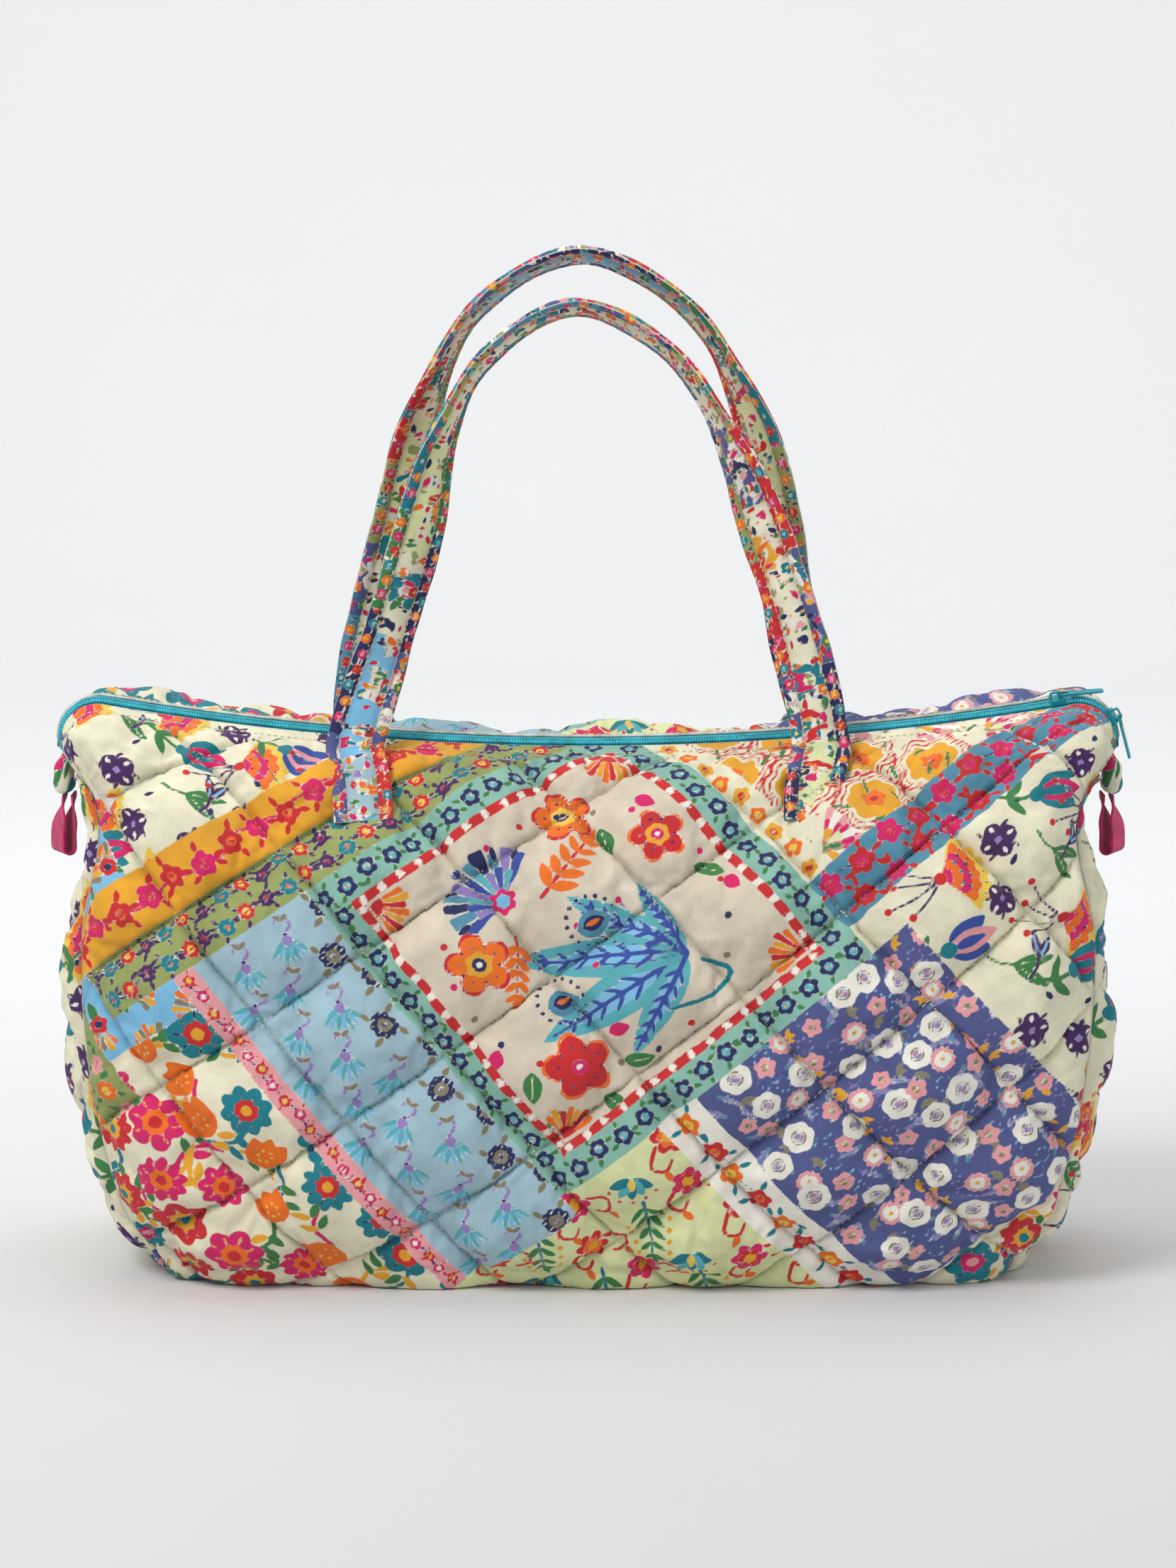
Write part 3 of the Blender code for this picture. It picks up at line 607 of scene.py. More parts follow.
def patch_tulips(cloth, rect, rng, ground="cream"):
    """Shell flowers, tulips, leaf pairs and dark four-lobed flowers on cream."""
    cloth.patch(ground, *rect)
    step = 0.0345
    for k, (a, b, turn) in enumerate(places_in(cloth, rect, step, rng, 0.13)):
        lean = math.radians(49) + 0.5 * math.sin(turn)
        kind = (k + k // 6) % 5
        if kind == 0:
            berries(cloth, a, b, step * 0.85, lean + math.pi, "purple", "red", 4)
            shell(cloth, a, b, step * 0.78, lean)
        elif kind == 2:
            look = (("teal", "magenta"), ("blue", "pink"), ("teal", "lilac"))[(k // 5) % 3]
            tulip(cloth, a, b, step * 0.72, lean, *look)
        elif kind == 4:
            leaf_pair(cloth, a, b, step * 0.62, lean + 0.6)
            leaf_pair(cloth, a + step * 0.3, b + step * 0.2, step * 0.45, lean - 1.0, "purple", "sky")
        else:
            four_lobed(cloth, a, b, step * 0.27, lean)
            leaf(cloth, "navy", a + step * 0.5, b - step * 0.3, step * 0.18, step * 0.08, turn)


def patch_folk(cloth, rect, rng, ground="cream"):
    """Teal, pink, magenta and orange flowers, tulips, branches and leaves on cream."""
    cloth.patch(ground, *rect)
    step = 0.0330
    looks = (("teal", "magenta", "pink", "purple"), ("red", "ochre", "teal", "magenta"),
             ("magenta", "orange", "red", "ochre"), ("orange", "yellow", "red", "red"),
             ("teal", "red", "ochre", "navy"))
    for k, (a, b, turn) in enumerate(places_in(cloth, rect, step, rng, 0.16)):
        reach = step * 0.95
        stem = ("leaf", "magenta", "ochre", "teal")[k % 4]
        stroke(cloth, stem, [(a, b), polar(a, b, 0.5 * reach, turn), polar(a, b, reach, turn + 0.5)], 0.0026, 0.4)
        for side in (-1, 1):
            for far in (0.42, 0.68):
                leaf(cloth, (stem, "leaf", "ochre")[(k + side) % 3], *polar(a, b, far * reach, turn + 0.15),
                     step * 0.34, step * 0.13, turn + 0.95 * side)
    for k, (a, b, turn) in enumerate(places_in(cloth, rect, step, np.random.default_rng(9), 0.16)):
        outer, inner, heart, marks = looks[k % 5]
        r = step * (0.40 + 0.07 * (k % 3 == 0))
        if k % 5 == 3:
            for j in (-1, 0, 1):
                leaf(cloth, outer, a, b, r * 1.5, r * 0.95, turn + 0.42 * j)
            dots(cloth, inner, *polar(a, b, 0.6 * r, turn), r * 0.28, 6, 0.0009)
            continue
        petals(cloth, outer, a, b, r, 6 + 2 * (k % 3), 0.26, turn)
        for j in range(8):
            t = turn + 2 * math.pi * j / 8
            leaf(cloth, marks, *polar(a, b, 0.52 * r, t), r * 0.30, r * 0.12, t)
        petals(cloth, inner, a, b, r * 0.48, 8, 0.2, turn)
        disc(cloth, heart, a, b, r * 0.22)


def patch_periwinkle(cloth, rect, rng):
    """Pale and pink blooms, grey leaves and drops, close together on deep blue."""
    cloth.patch("periwinkle", *rect)
    step = 0.0118
    for k, (a, b, turn) in enumerate(places_in(cloth, rect, step, rng, 0.3)):
        if k % 3 == 0:
            sprig(cloth, a, b, step * 0.95, turn, "steel", "lilac", 3, 0.24)
        elif k % 3 == 1:
            for j in (0, 1, 2):
                leaf(cloth, ("ochre", "moss", "yellow")[k % 2], a, b, step * 0.48, step * 0.17, turn + 0.9 * j)
        else:
            for j in range(7):
                t = turn + 2 * math.pi * j / 7
                disc(cloth, ("sky", "lilac", "pink")[k % 2], a + step * 0.30 * math.cos(t),
                     b + step * 0.34 * math.sin(t), 0.00075)
    for k, (a, b, turn) in enumerate(places_in(cloth, rect, 0.0182, np.random.default_rng(31), 0.24)):
        size = (0.0082, 0.0056, 0.0066, 0.0050, 0.0074)[k % 5]
        if k % 5 in (0, 4):
            petals(cloth, "white", a, b, size, 6, 0.12, turn)
            ring(cloth, "moss", a, b, size * 0.42, 0.0009)
            petals(cloth, "lilac", a, b, size * 0.30, 6, 0.2, turn)
            disc(cloth, "ochre", a, b, size * 0.13)
        elif k % 5 == 2:
            petals(cloth, "pink", a, b, size, 12, 0.22, turn)
            petals(cloth, "white", a, b, size * 0.66, 12, 0.3, turn)
            disc(cloth, "ochre", a, b, size * 0.22)
        else:
            petals(cloth, "pink", a, b, size, 5, 0.34, turn)
            petals(cloth, "moss", a, b, size * 0.38, 5, 0.3, turn)
            disc(cloth, "yellow", a, b, size * 0.16)


def patch_birds(cloth, rect, rng):
    """Feathery plumes, grey leaves and navy rosettes on light blue."""
    cloth.patch("lightblue", *rect)
    step = 0.0262
    for k, (a, b, turn) in enumerate(places_in(cloth, rect, step, rng, 0.06)):
        if k % 3 == 2:
            for j in range(4):
                t = 0.8 + j * math.pi / 2
                leaf(cloth, "moss", *polar(a, b, step * 0.26, t), step * 0.26, step * 0.11, t + 0.5)
            rosette(cloth, a, b, step * 0.28)
        else:
            plume(cloth, a, b, step * 0.60, 2.3 + 0.35 * math.sin(turn))


def patch_meadow(cloth, rect, rng):
    """Red flowers, curls and green plants on pale yellow-green."""
    cloth.patch("lime", *rect)
    step = 0.0310
    for k, (a, b, turn) in enumerate(places_in(cloth, rect, step, rng, 0.15)):
        kind = k % 4
        if kind in (0, 2):
            outer, inner = (("red", "orange"), ("magenta", "red"))[kind // 2]
            petals(cloth, outer, a, b, step * 0.30, 6, 0.34, turn)
            petals(cloth, inner, a, b, step * 0.20, 6, 0.3, turn)
            petals(cloth, "ochre", a, b, step * 0.11, 6, 0.2, turn + 0.5)
            for side in (-1, 1):
                curl = ((0.30, 0.0), (0.55, 0.22), (0.42, 0.42), (0.22, 0.34))
                stroke(cloth, "red", [(a + side * step * out, b + step * up) for out, up in curl], 0.0019, 0.3)
                leaf(cloth, "orange", a + side * step * 0.42, b + step * 0.42, step * 0.24, step * 0.12, turn)
        elif kind == 1:
            sprig(cloth, a + step * 0.3, b - step * 0.35, step * 1.25, 2.05, "teal", "leaf", 5, 0.19, "ochre")
        else:
            for j in range(5):
                leaf(cloth, ("teal", "aqua")[j % 2], a, b, step * 0.40, step * 0.18, 2.2 + 0.55 * (j - 2))
            leaf(cloth, "yellow", a, b, step * 0.24, step * 0.12, 2.2)
            dots(cloth, "magenta", a, b, step * 0.46, 5, 0.0011, 1.2, 2.4)


def patch_scallops(cloth, rect, rng):
    """Ochre scalloped lobes with red outlines, and pink sunbursts, on cream."""
    cloth.patch("cream", *rect)
    step = 0.0400
    for k, (a, b, turn) in enumerate(places_in(cloth, rect, step, rng, 0.08)):
        if k % 3 == 1:
            for ribs, reach, ink in ((13, 0.60, "pink"), (13, 0.42, "magenta")):
                fan(cloth, a, b, step * reach, 0.75, [ink, "white", ink], ribs, 1.5)
            fan(cloth, a, b, step * 0.28, 0.75, ["ochre", "lime", "olive"], 5, 1.5)
            dots(cloth, "ochre", a, b, step * 0.66, 13, 0.0011, -0.75, 3.2)
        else:
            for ink, reach in (("red", 0.52), ("cream", 0.485), ("red", 0.43), ("cream", 0.405), ("ochre", 0.35)):
                petals(cloth, ink, a, b, step * reach, 7, 0.15, turn)
            petals(cloth, "orange", a, b, step * 0.16, 5, 0.3, turn)
            disc(cloth, "red", a, b, step * 0.05)
            dots(cloth, "red", a, b, step * 0.58, 16, 0.0010, turn)
    for a, b, turn in places_in(cloth, rect, step * 0.5, np.random.default_rng(3), 0.2):
        sprig(cloth, a, b, step * 0.22, turn, "leaf", "leaf", 2, 0.3)


def patch_sky(cloth, rect, rng):
    """Orange sunbursts and teal leaves on sky blue."""
    cloth.patch("sky", *rect)
    step = 0.0300
    for k, (a, b, turn) in enumerate(places_in(cloth, rect, step, rng)):
        leaf(cloth, "teal", a, b, step * 0.5, step * 0.2, turn)
        leaf(cloth, "leaf", a, b, step * 0.5, step * 0.2, turn + 2.2)
        fan(cloth, a, b, step * 0.52, turn, ["orange", "ochre", "moss"], 9, 1.3)
        petals(cloth, "red", a, b, step * 0.17, 5, 0.2, turn)
        disc(cloth, "navy", a, b, step * 0.07)


def band(cloth, rect, ground, flowers, rng, size=None, along=0, extra=None, vine=None):
    """A narrow border with rows of small flowers; along is the rectangle's long side, 0 for a and 1 for b."""
    cloth.patch(ground, *rect)
    a0, a1, b0, b1 = rect
    width = (b1 - b0) if along == 0 else (a1 - a0)
    length = (a1 - a0) if along == 0 else (b1 - b0)
    size = size or width * 0.30
    rows = max(1, round(width / (size * 3.0)))
    count = max(1, round(length / (size * 2.7)))
    for row in range(rows):
        line = []
        for k in range(count):
            t = (k + 0.5 + 0.5 * (row % 2)) / count * length
            across = (row + 0.5) / rows * width + size * 0.25 * math.sin(2.3 * k)
            a, b = (a0 + t, b0 + across) if along == 0 else (a0 + across, b0 + t)
            line.append((a, b, flowers[(k + row) % len(flowers)], rng.uniform(0, 6.283)))
        for (a, b, _, turn), (a2, b2, _, _) in zip(line, line[1:]):
            if vine:
                bow = size * 0.5 * math.sin(turn)
                stroke(cloth, vine, [(a, b), ((a + a2) / 2 + bow, (b + b2) / 2 + bow), (a2, b2)], 0.0012)
        for a, b, (outer, inner), turn in line:
            if extra:
                for swing in (0.0, 2.2, 4.1):
                    leaf(cloth, extra, *polar(a, b, 0.9 * size, turn + swing), size, size * 0.42, turn + swing + 0.3)
            petals(cloth, outer, a, b, size, 5 + 3 * (row % 2), 0.3, turn)
            petals(cloth, inner, a, b, size * 0.44, 6, 0.2, turn)
            disc(cloth, "orange" if inner == "aqua" else outer, a, b, size * 0.17)


def star_band(cloth, rect, along):
    """A red band with small white stars."""
    cloth.patch("red", *rect)
    a0, a1, b0, b1 = rect
    length = (a1 - a0) if along == 0 else (b1 - b0)
    count = max(1, round(length / 0.0120))
    for k in range(count):
        t = (k + 0.5) / count * length
        a, b = (a0 + t, (b0 + b1) / 2) if along == 0 else ((a0 + a1) / 2, b0 + t)
        for spoke in range(3):
            c, d = 0.0021 * math.cos(0.3 + 1.047 * spoke), 0.0021 * math.sin(0.3 + 1.047 * spoke)
            stroke(cloth, "white", [(a - c, b - d), (a, b), (a + c, b + d)], 0.0011)


MEDALLION = 0.105  # half of the medallion's side, border included
BORDER = 0.017  # the floral border's width
STARS = 0.0048  # the red line's width


def frame_sides(a, b, reach, width):
    """The four strips inside the edge of a square, each with its long direction; reach is half the square's side."""
    mid, half = reach - width / 2, width / 2
    for side in (-1, 1):
        yield (a + side * mid - half, a + side * mid + half, b - reach, b + reach), 1
    for side in (-1, 1):
        yield (a - reach, a + reach, b + side * mid - half, b + side * mid + half), 0


def medallion(cloth, a, b, rng):
    """A square picture in a teal floral border and a starred red line, with fans at its corners."""
    cloth.patch("mint", a - MEDALLION, a + MEDALLION, b - MEDALLION, b + MEDALLION)
    for rect, along in frame_sides(a, b, MEDALLION, BORDER):
        band(cloth, rect, "mint", [("navy", "aqua")], rng, 0.0052, along, "leaf")
    inner = MEDALLION - BORDER
    for rect, along in frame_sides(a, b, inner, STARS):
        star_band(cloth, rect, along)
    inner -= STARS
    cloth.patch("greige", a - inner, a + inner, b - inner, b + inner)
    bouquet(cloth, a, b)
    cloth.clip = None
    for da, db in ((-1, -1), (-1, 1), (1, -1), (1, 1)):
        x, y = a + da * (inner - 0.002), b + db * (inner - 0.002)
        fan(cloth, x, y, 0.020, math.atan2(-db, -da), ["orange", "ochre", "red"], 7, 0.8)


def frond(cloth, x, y, length, angle, halo="aqua", ink="blue", pairs=6):
    """A spear of a leaf: a pale wash, a dark rib and short dark barbs."""
    leaf(cloth, halo, x, y, length, length * 0.25, angle)
    leaf(cloth, "sky", *polar(x, y, 0.12 * length, angle), length * 0.72, length * 0.12, angle)
    stroke(cloth, ink, [(x, y), polar(x, y, 0.5 * length, angle), polar(x, y, 0.94 * length, angle)], 0.0030, 0.5)
    for k in range(pairs):
        t = 0.18 + 0.72 * k / pairs
        for side in (-1, 1):
            leaf(cloth, ink, *polar(x, y, t * length, angle), length * 0.17 * (1.1 - 0.6 * t), 0.0024,
                 angle + 0.62 * side)


def bouquet(cloth, a, b):
    """The medallion's own picture: barbed blue fronds, a deep blue cup flower and orange-red blooms."""
    root = (a + 0.034, b + 0.040)
    for turn, length in ((-3.05, 0.090), (-2.52, 0.092), (-2.02, 0.070), (2.72, 0.062), (-1.48, 0.050)):
        frond(cloth, *root, length, turn)
    berries(cloth, *root, 0.060, -2.2, "blue", "magenta", 3)
    fan(cloth, a - 0.022, b - 0.042, 0.031, -1.95, ["blue", "steel", "navy", "steel", "lilac"], 11, 1.5)
    fan(cloth, a - 0.022, b - 0.042, 0.020, -1.95, ["lilac", "blue", "aqua"], 9, 1.35)
    for k in range(7):
        t = -1.95 + 0.42 * (k - 3)
        leaf(cloth, "navy", *polar(a - 0.022, b - 0.042, 0.024, t), 0.0085, 0.0036, t)
    petals(cloth, "magenta", a - 0.022, b - 0.042, 0.0075, 6, 0.3)
    petals(cloth, "sky", a - 0.022, b - 0.042, 0.0040, 6, 0.3)
    for k, (x, y, turn, length) in enumerate(((-0.006, -0.030, -0.3, 0.046), (-0.030, -0.022, 2.3, 0.036))):
        sprig(cloth, a + x, b + y, length, turn, "red", "orange", 5, 0.26)
    for x, y, r, looks in ((-0.056, -0.022, 0.0160, ("orange", "red", "ochre", "navy")),
                           (0.034, -0.062, 0.0165, ("orange", "red", "yellow", "purple")),
                           (0.064, -0.020, 0.0140, ("red", "orange", "ochre", "magenta")),
                           (-0.050, 0.052, 0.0175, ("red", "orange", "red", "magenta"))):
        petals(cloth, looks[1], a + x, b + y, r * 1.06, 5, 0.34)
        petals(cloth, looks[0], a + x, b + y, r * 0.94, 5, 0.32)
        dots(cloth, "purple", a + x, b + y, r * 0.60, 10, 0.0009)
        petals(cloth, looks[2], a + x, b + y, r * 0.44, 6, 0.15)
        disc(cloth, looks[3], a + x, b + y, r * 0.22)
        disc(cloth, "white", a + x, b + y, r * 0.09)
    for x, y in ((-0.034, 0.020), (0.006, -0.006)):
        dots(cloth, "navy", a + x, b + y, 0.0128, 16, 0.0012)
        leaf(cloth, "steel", a + x - 0.009, b + y, 0.019, 0.0145, 0.2)
        leaf(cloth, "navy", a + x - 0.006, b + y, 0.013, 0.0080, 0.2)
        leaf(cloth, "orange", a + x - 0.004, b + y, 0.009, 0.0030, 0.2)
    for x, y, turn in ((-0.030, 0.066, 0.4), (-0.070, 0.040, 2.2), (-0.050, 0.074, 1.3), (0.068, 0.004, 1.0),
                       (0.046, -0.044, 2.0), (-0.070, 0.066, 2.8)):
        leaf(cloth, "leaf", a + x, b + y, 0.017, 0.0090, turn, "lime")
    for x, y, turn in ((0.070, -0.044, 1.2), (-0.024, 0.048, 0.3), (-0.076, 0.022, 2.5), (0.076, 0.020, 1.4)):
        leaf(cloth, "magenta", a + x, b + y, 0.011, 0.0075, turn)
    for k in range(22):
        t = 2 * math.pi * k / 22
        ink = ("magenta", "red", "navy", "moss")[k % 4]
        disc(cloth, ink, a + 0.076 * math.cos(t), b + 0.072 * math.sin(t), 0.0018)
    tail = ((0.004, 0.008), (0.012, 0.022), (-0.004, 0.026), (-0.026, 0.018))
    stroke(cloth, "teal", [(root[0] + x, root[1] + y) for x, y in tail], 0.0026, 0.3)


def patchwork(cloth, rng):
    """The panel's whole print. a runs up to the right and b down to the right from the medallion's centre."""
    big = 0.60
    m = MEDALLION
    patch_tulips(cloth, (-big, big, -big, -m - 0.055), rng)
    patch_folk(cloth, (-big, -0.19, -0.125, big), rng)
    patch_sky(cloth, (-0.255, -0.180, -0.205, -0.088), rng)
    band(cloth, (-0.30, -0.255, -0.20, -0.06), "olive", [("orange", "yellow"), ("pink", "red")], rng, 0.006, 1, "leaf")
    patch_meadow(cloth, (-0.19, -0.010, m - 0.003, big), rng)
    patch_scallops(cloth, (m, big, -big, 0.052), rng)
    patch_tulips(cloth, (m + 0.018, big, 0.086, big), rng)
    band(cloth, (-0.24, m - 0.02, -m - 0.030, -m), "olive", [("purple", "red"), ("teal", "orange"), ("red", "yellow")],
         rng, 0.0048, 0, "purple", "navy")
    band(cloth, (-0.26, 0.075, -m - 0.058, -m - 0.030), "ochre", [("magenta", "red"), ("red", "orange")], rng,
         0.0068, 0, "red", "magenta")
    patch_birds(cloth, (-0.180, -m, -m, m + 0.012), rng)
    band(cloth, (-0.192, -0.180, -0.105, 0.118), "pink", [("red", "yellow"), ("magenta", "white")], rng, 0.0036, 1,
         "red", "purple")
    patch_folk(cloth, (-0.012, m + 0.018, 0.282, big), rng)
    patch_periwinkle(cloth, (-0.012, 0.130, m, 0.282), rng)
    band(cloth, (-0.040, -0.012, m, 0.30), "white", [("orange", "yellow"), ("red", "orange")], rng, 0.0072, 1, "teal",
         "teal")
    band(cloth, (m, 0.42, 0.052, 0.086), "steel", [("magenta", "red"), ("red", "magenta")], rng, 0.0072, 0, "red",
         "purple")
    band(cloth, (m, m + 0.018, -m, 0.052), "cream", [("ochre", "red"), ("orange", "yellow")], rng, 0.0052, 1)
    medallion(cloth, 0.0, 0.0, rng)
    cloth.clip = None


def print_axes(places):
    """Cloth places turned into the print's a and b."""
    ca, sa, cb, sb = math.cos(PRINT_UP), math.sin(PRINT_UP), math.cos(PRINT_DOWN), math.sin(PRINT_DOWN)
    det = ca * sb - cb * sa
    x, y = places[..., 0], places[..., 1]
    return np.stack([(x * sb - cb * y) / det, (ca * y - sa * x) / det], -1)


# ---------------------------------------------------------------- relief

def value_noise(p, scale, seed):
    """Smooth noise between -1 and 1 at 2-D places."""
    rng = np.random.default_rng(seed)
    table = rng.uniform(-1, 1, (64, 64))
    q = p / scale
    i = np.floor(q).astype(int)
    f = q - i
    f = f * f * (3 - 2 * f)
    i0, j0, i1, j1 = i[..., 0] % 64, i[..., 1] % 64, (i[..., 0] + 1) % 64, (i[..., 1] + 1) % 64
    return ((table[i0, j0] * (1 - f[..., 0]) + table[i1, j0] * f[..., 0]) * (1 - f[..., 1])
            + (table[i0, j1] * (1 - f[..., 0]) + table[i1, j1] * f[..., 0]) * f[..., 1])


def quilt_lines(ab, offset=(QUILT_A, QUILT_B)):
    """Distance to the nearest quilting line of each direction, and the place along it."""
    out = []
    for k in range(2):
        t = (ab[..., k] - offset[k]) / CELL
        out.append(np.abs(t - np.round(t)) * CELL)
    return out


def quilt_relief(ab, seed):
    """Height of the quilted cloth above its middle: domed cells, sharp sewn valleys and puckers beside them."""
    da, db = quilt_lines(ab)
    half = CELL / 2
    dome = ((np.sin(np.pi / 2 * np.clip(da / half, 0, 1)) ** 0.50)
            * (np.sin(np.pi / 2 * np.clip(db / half, 0, 1)) ** 0.50))
    soft = 1 + 0.16 * value_noise(ab, 0.055, seed) + 0.05 * value_noise(ab, 0.017, seed + 1)
    height = PUFF * (dome * soft - 0.45)
    for d, along, k in ((da, ab[..., 1], 2), (db, ab[..., 0], 3)):
        wave = np.sin(along / 0.0036 + 2.5 * value_noise(ab, 0.014, seed + k))
        strength = 0.35 + 0.65 * np.clip(value_noise(ab, 0.03, seed + k + 4) + 0.4, 0, 1)
        height += 0.00075 * wave * strength * np.exp(-(d / 0.0075)) * smoothstep(0, 0.0015, d)
    return height


def wrinkle_folds(places, seed):
    """Long soft folds across the panel."""
    fold = 0.0
    for k, (angle, wave, size) in enumerate(((0.55, 0.048, 0.0009), (-0.9, 0.037, 0.0008), (0.1, 0.09, 0.0014))):
        u = places[..., 0] * math.cos(angle) + places[..., 1] * math.sin(angle)
        bend = value_noise(places, 0.11, seed + k)
        strength = 0.5 + 0.5 * value_noise(places, 0.08, seed + 9 + k)
        fold = fold + size * np.sin(2 * np.pi * u / wave + 3 * bend) * strength
    return fold


# ---------------------------------------------------------------- materials

def node(tree, kind, **values):
    made = tree.nodes.new(kind)
    for key, value in values.items():
        setattr(made, key, value)
    return made


def math_node(tree, operation, a, b=None, c=None):
    made = node(tree, "ShaderNodeMath", operation=operation)
    for k, value in enumerate((a, b, c)):
        if value is None:
            continue
        if isinstance(value, (int, float)):
            made.inputs[k].default_value = value
        else:
            tree.links.new(value, made.inputs[k])
    return made.outputs[0]


def colour_mix(tree, factor, a, b, blend="MIX"):
    made = node(tree, "ShaderNodeMix", data_type="RGBA", blend_type=blend)
    for socket, value in ((made.inputs[0], factor), (made.inputs[6], a), (made.inputs[7], b)):
        if isinstance(value, (int, float)):
            socket.default_value = value
        elif isinstance(value, tuple):
            socket.default_value = (*value, 1.0)
        else:
            tree.links.new(value, socket)
    return made.outputs[2]


def ramp_range(tree, value, low, high, to_low=0.0, to_high=1.0, smooth=True):
    made = node(tree, "ShaderNodeMapRange", interpolation_type="SMOOTHSTEP" if smooth else "LINEAR")
    tree.links.new(value, made.inputs["Value"])
    for key, number in (("From Min", low), ("From Max", high), ("To Min", to_low), ("To Max", to_high)):
        made.inputs[key].default_value = number
    return made.outputs[0]


def noise(tree, vector, scale, detail=2.0, roughness=0.5):
    made = node(tree, "ShaderNodeTexNoise")
    made.inputs["Scale"].default_value = scale
    made.inputs["Detail"].default_value = detail
    made.inputs["Roughness"].default_value = roughness
    tree.links.new(vector, made.inputs["Vector"])
    return made


def attribute(tree, name):
    return node(tree, "ShaderNodeAttribute", attribute_name=name)


def object_places(tree):
    return node(tree, "ShaderNodeTexCoord").outputs["Object"]


def split_vector(tree, vector):
    made = node(tree, "ShaderNodeSeparateXYZ")
    tree.links.new(vector, made.inputs[0])
    return made.outputs


def raise_surface(tree, shader, height, strength, distance):
    """Bumps a shader's surface by a height."""
    bump = node(tree, "ShaderNodeBump")
    bump.inputs["Strength"].default_value = strength
    bump.inputs["Distance"].default_value = distance
    tree.links.new(height, bump.inputs["Height"])
    tree.links.new(bump.outputs[0], shader.inputs["Normal"])


def new_material(name, roughness, sheen=0.0, metallic=0.0, specular=0.5):
    made = bpy.data.materials.new(name)
    made.use_nodes = True
    shader = made.node_tree.nodes["Principled BSDF"]
    shader.inputs["Roughness"].default_value = roughness
    shader.inputs["Sheen Weight"].default_value = sheen
    shader.inputs["Sheen Roughness"].default_value = 0.4
    shader.inputs["Metallic"].default_value = metallic
    shader.inputs["Specular IOR Level"].default_value = specular
    return made, made.node_tree, shader


def weave(tree, vector, pitch, strength, shader, extra=None, distance=0.0002):
    """A plain weave's bump over cloth places in metres."""
    across = split_vector(tree, vector)
    waves = [math_node(tree, "SINE", math_node(tree, "MULTIPLY", across[k], 2 * math.pi / pitch)) for k in range(2)]
    height = math_node(tree, "MULTIPLY", waves[0], waves[1])
    if extra is not None:
        height = math_node(tree, "ADD", height, extra)
    raise_surface(tree, shader, height, strength, distance)


def print_material(name):
    """Printed cotton: the ink screens over each other, painterly edges, fine weave, slight fading, and painted shade
    along the sewn grooves.
    """
    made, tree, shader = new_material(name, 0.72, sheen=0.12, specular=0.35)
    cloth = attribute(tree, "cloth").outputs["Vector"]
    fine = noise(tree, cloth, 900, 3, 0.6).outputs["Fac"]
    brush = noise(tree, cloth, 260, 3, 0.6).outputs["Fac"]
    wash = noise(tree, cloth, 45, 4, 0.6)
    ragged = math_node(tree, "MULTIPLY_ADD", math_node(tree, "SUBTRACT", brush, 0.5), 0.0011, 0.00012)
    colour = (0.80, 0.77, 0.66)
    for k in range(0, len(INKS), 3):
        screens = split_vector(tree, attribute(tree, f"ink{k // 3}").outputs["Vector"])
        for channel, ink in enumerate(list(INKS)[k:k + 3]):
            edge = math_node(tree, "ADD", screens[channel], ragged)
            cover = ramp_range(tree, edge, -0.00035, 0.00035)
            colour = colour_mix(tree, cover, colour, INKS[ink])
    # groove is painted shade: it darkens the colour down to 0.74 along quilting lines, seams and the straps' rows of
    # stitches
    groove = attribute(tree, "groove").outputs["Fac"]
    for value, low, high, at_low, at_high, smooth in ((wash.outputs["Fac"], 0.25, 0.75, 0.80, 1.16, False),
                                                      (fine, 0.35, 0.75, 1.0, 0.90, False),
                                                      (groove, 0.0, 1.0, 1.0, 0.74, True)):
        tone = ramp_range(tree, value, low, high, at_low, at_high, smooth)
        colour = colour_mix(tree, 1.0, colour, node_value_colour(tree, tone), "MULTIPLY")
    tree.links.new(colour, shader.inputs["Base Color"])
    rough = ramp_range(tree, wash.outputs["Fac"], 0.3, 0.7, 0.64, 0.82)
    tree.links.new(rough, shader.inputs["Roughness"])
    weave(tree, cloth, 0.0009, 0.35, shader, math_node(tree, "MULTIPLY", brush, 2.2))
    return made


def node_value_colour(tree, value):
    made = node(tree, "ShaderNodeCombineColor")
    for k in range(3):
        tree.links.new(value, made.inputs[k])
    return made.outputs[0]


def cloth_material(name, colour, pitch, roughness=0.85, sheen=0.2, strength=0.6):
    """Plain woven cloth, with a colour that varies a little from thread to thread."""
    made, tree, shader = new_material(name, roughness, sheen)
    coords = object_places(tree)
    patchy = noise(tree, coords, 120, 3).outputs["Fac"]
    fibre = noise(tree, coords, 1600, 2).outputs["Fac"]
    dark = tuple(0.62 * c for c in colour)
    light = tuple(min(1.0, 1.18 * c + 0.01) for c in colour)
    mixed = colour_mix(tree, ramp_range(tree, patchy, 0.3, 0.7), dark, light)
    mixed = colour_mix(tree, ramp_range(tree, fibre, 0.35, 0.65, 0.0, 0.45), mixed, colour)
    tree.links.new(mixed, shader.inputs["Base Color"])
    weave(tree, coords, pitch, strength, shader, distance=0.00025)
    return made


def enamel_material(name, colour):
    made, tree, shader = new_material(name, 0.32, metallic=0.35)
    coords = object_places(tree)
    scuff = noise(tree, coords, 420, 4, 0.7).outputs["Fac"]
    worn = ramp_range(tree, scuff, 0.60, 0.78)
    tree.links.new(colour_mix(tree, worn, colour, (0.16, 0.52, 0.56)), shader.inputs["Base Color"])
    tree.links.new(ramp_range(tree, scuff, 0.3, 0.8, 0.24, 0.5), shader.inputs["Roughness"])
    raise_surface(tree, shader, scuff, 0.15, 0.0001)
    return made


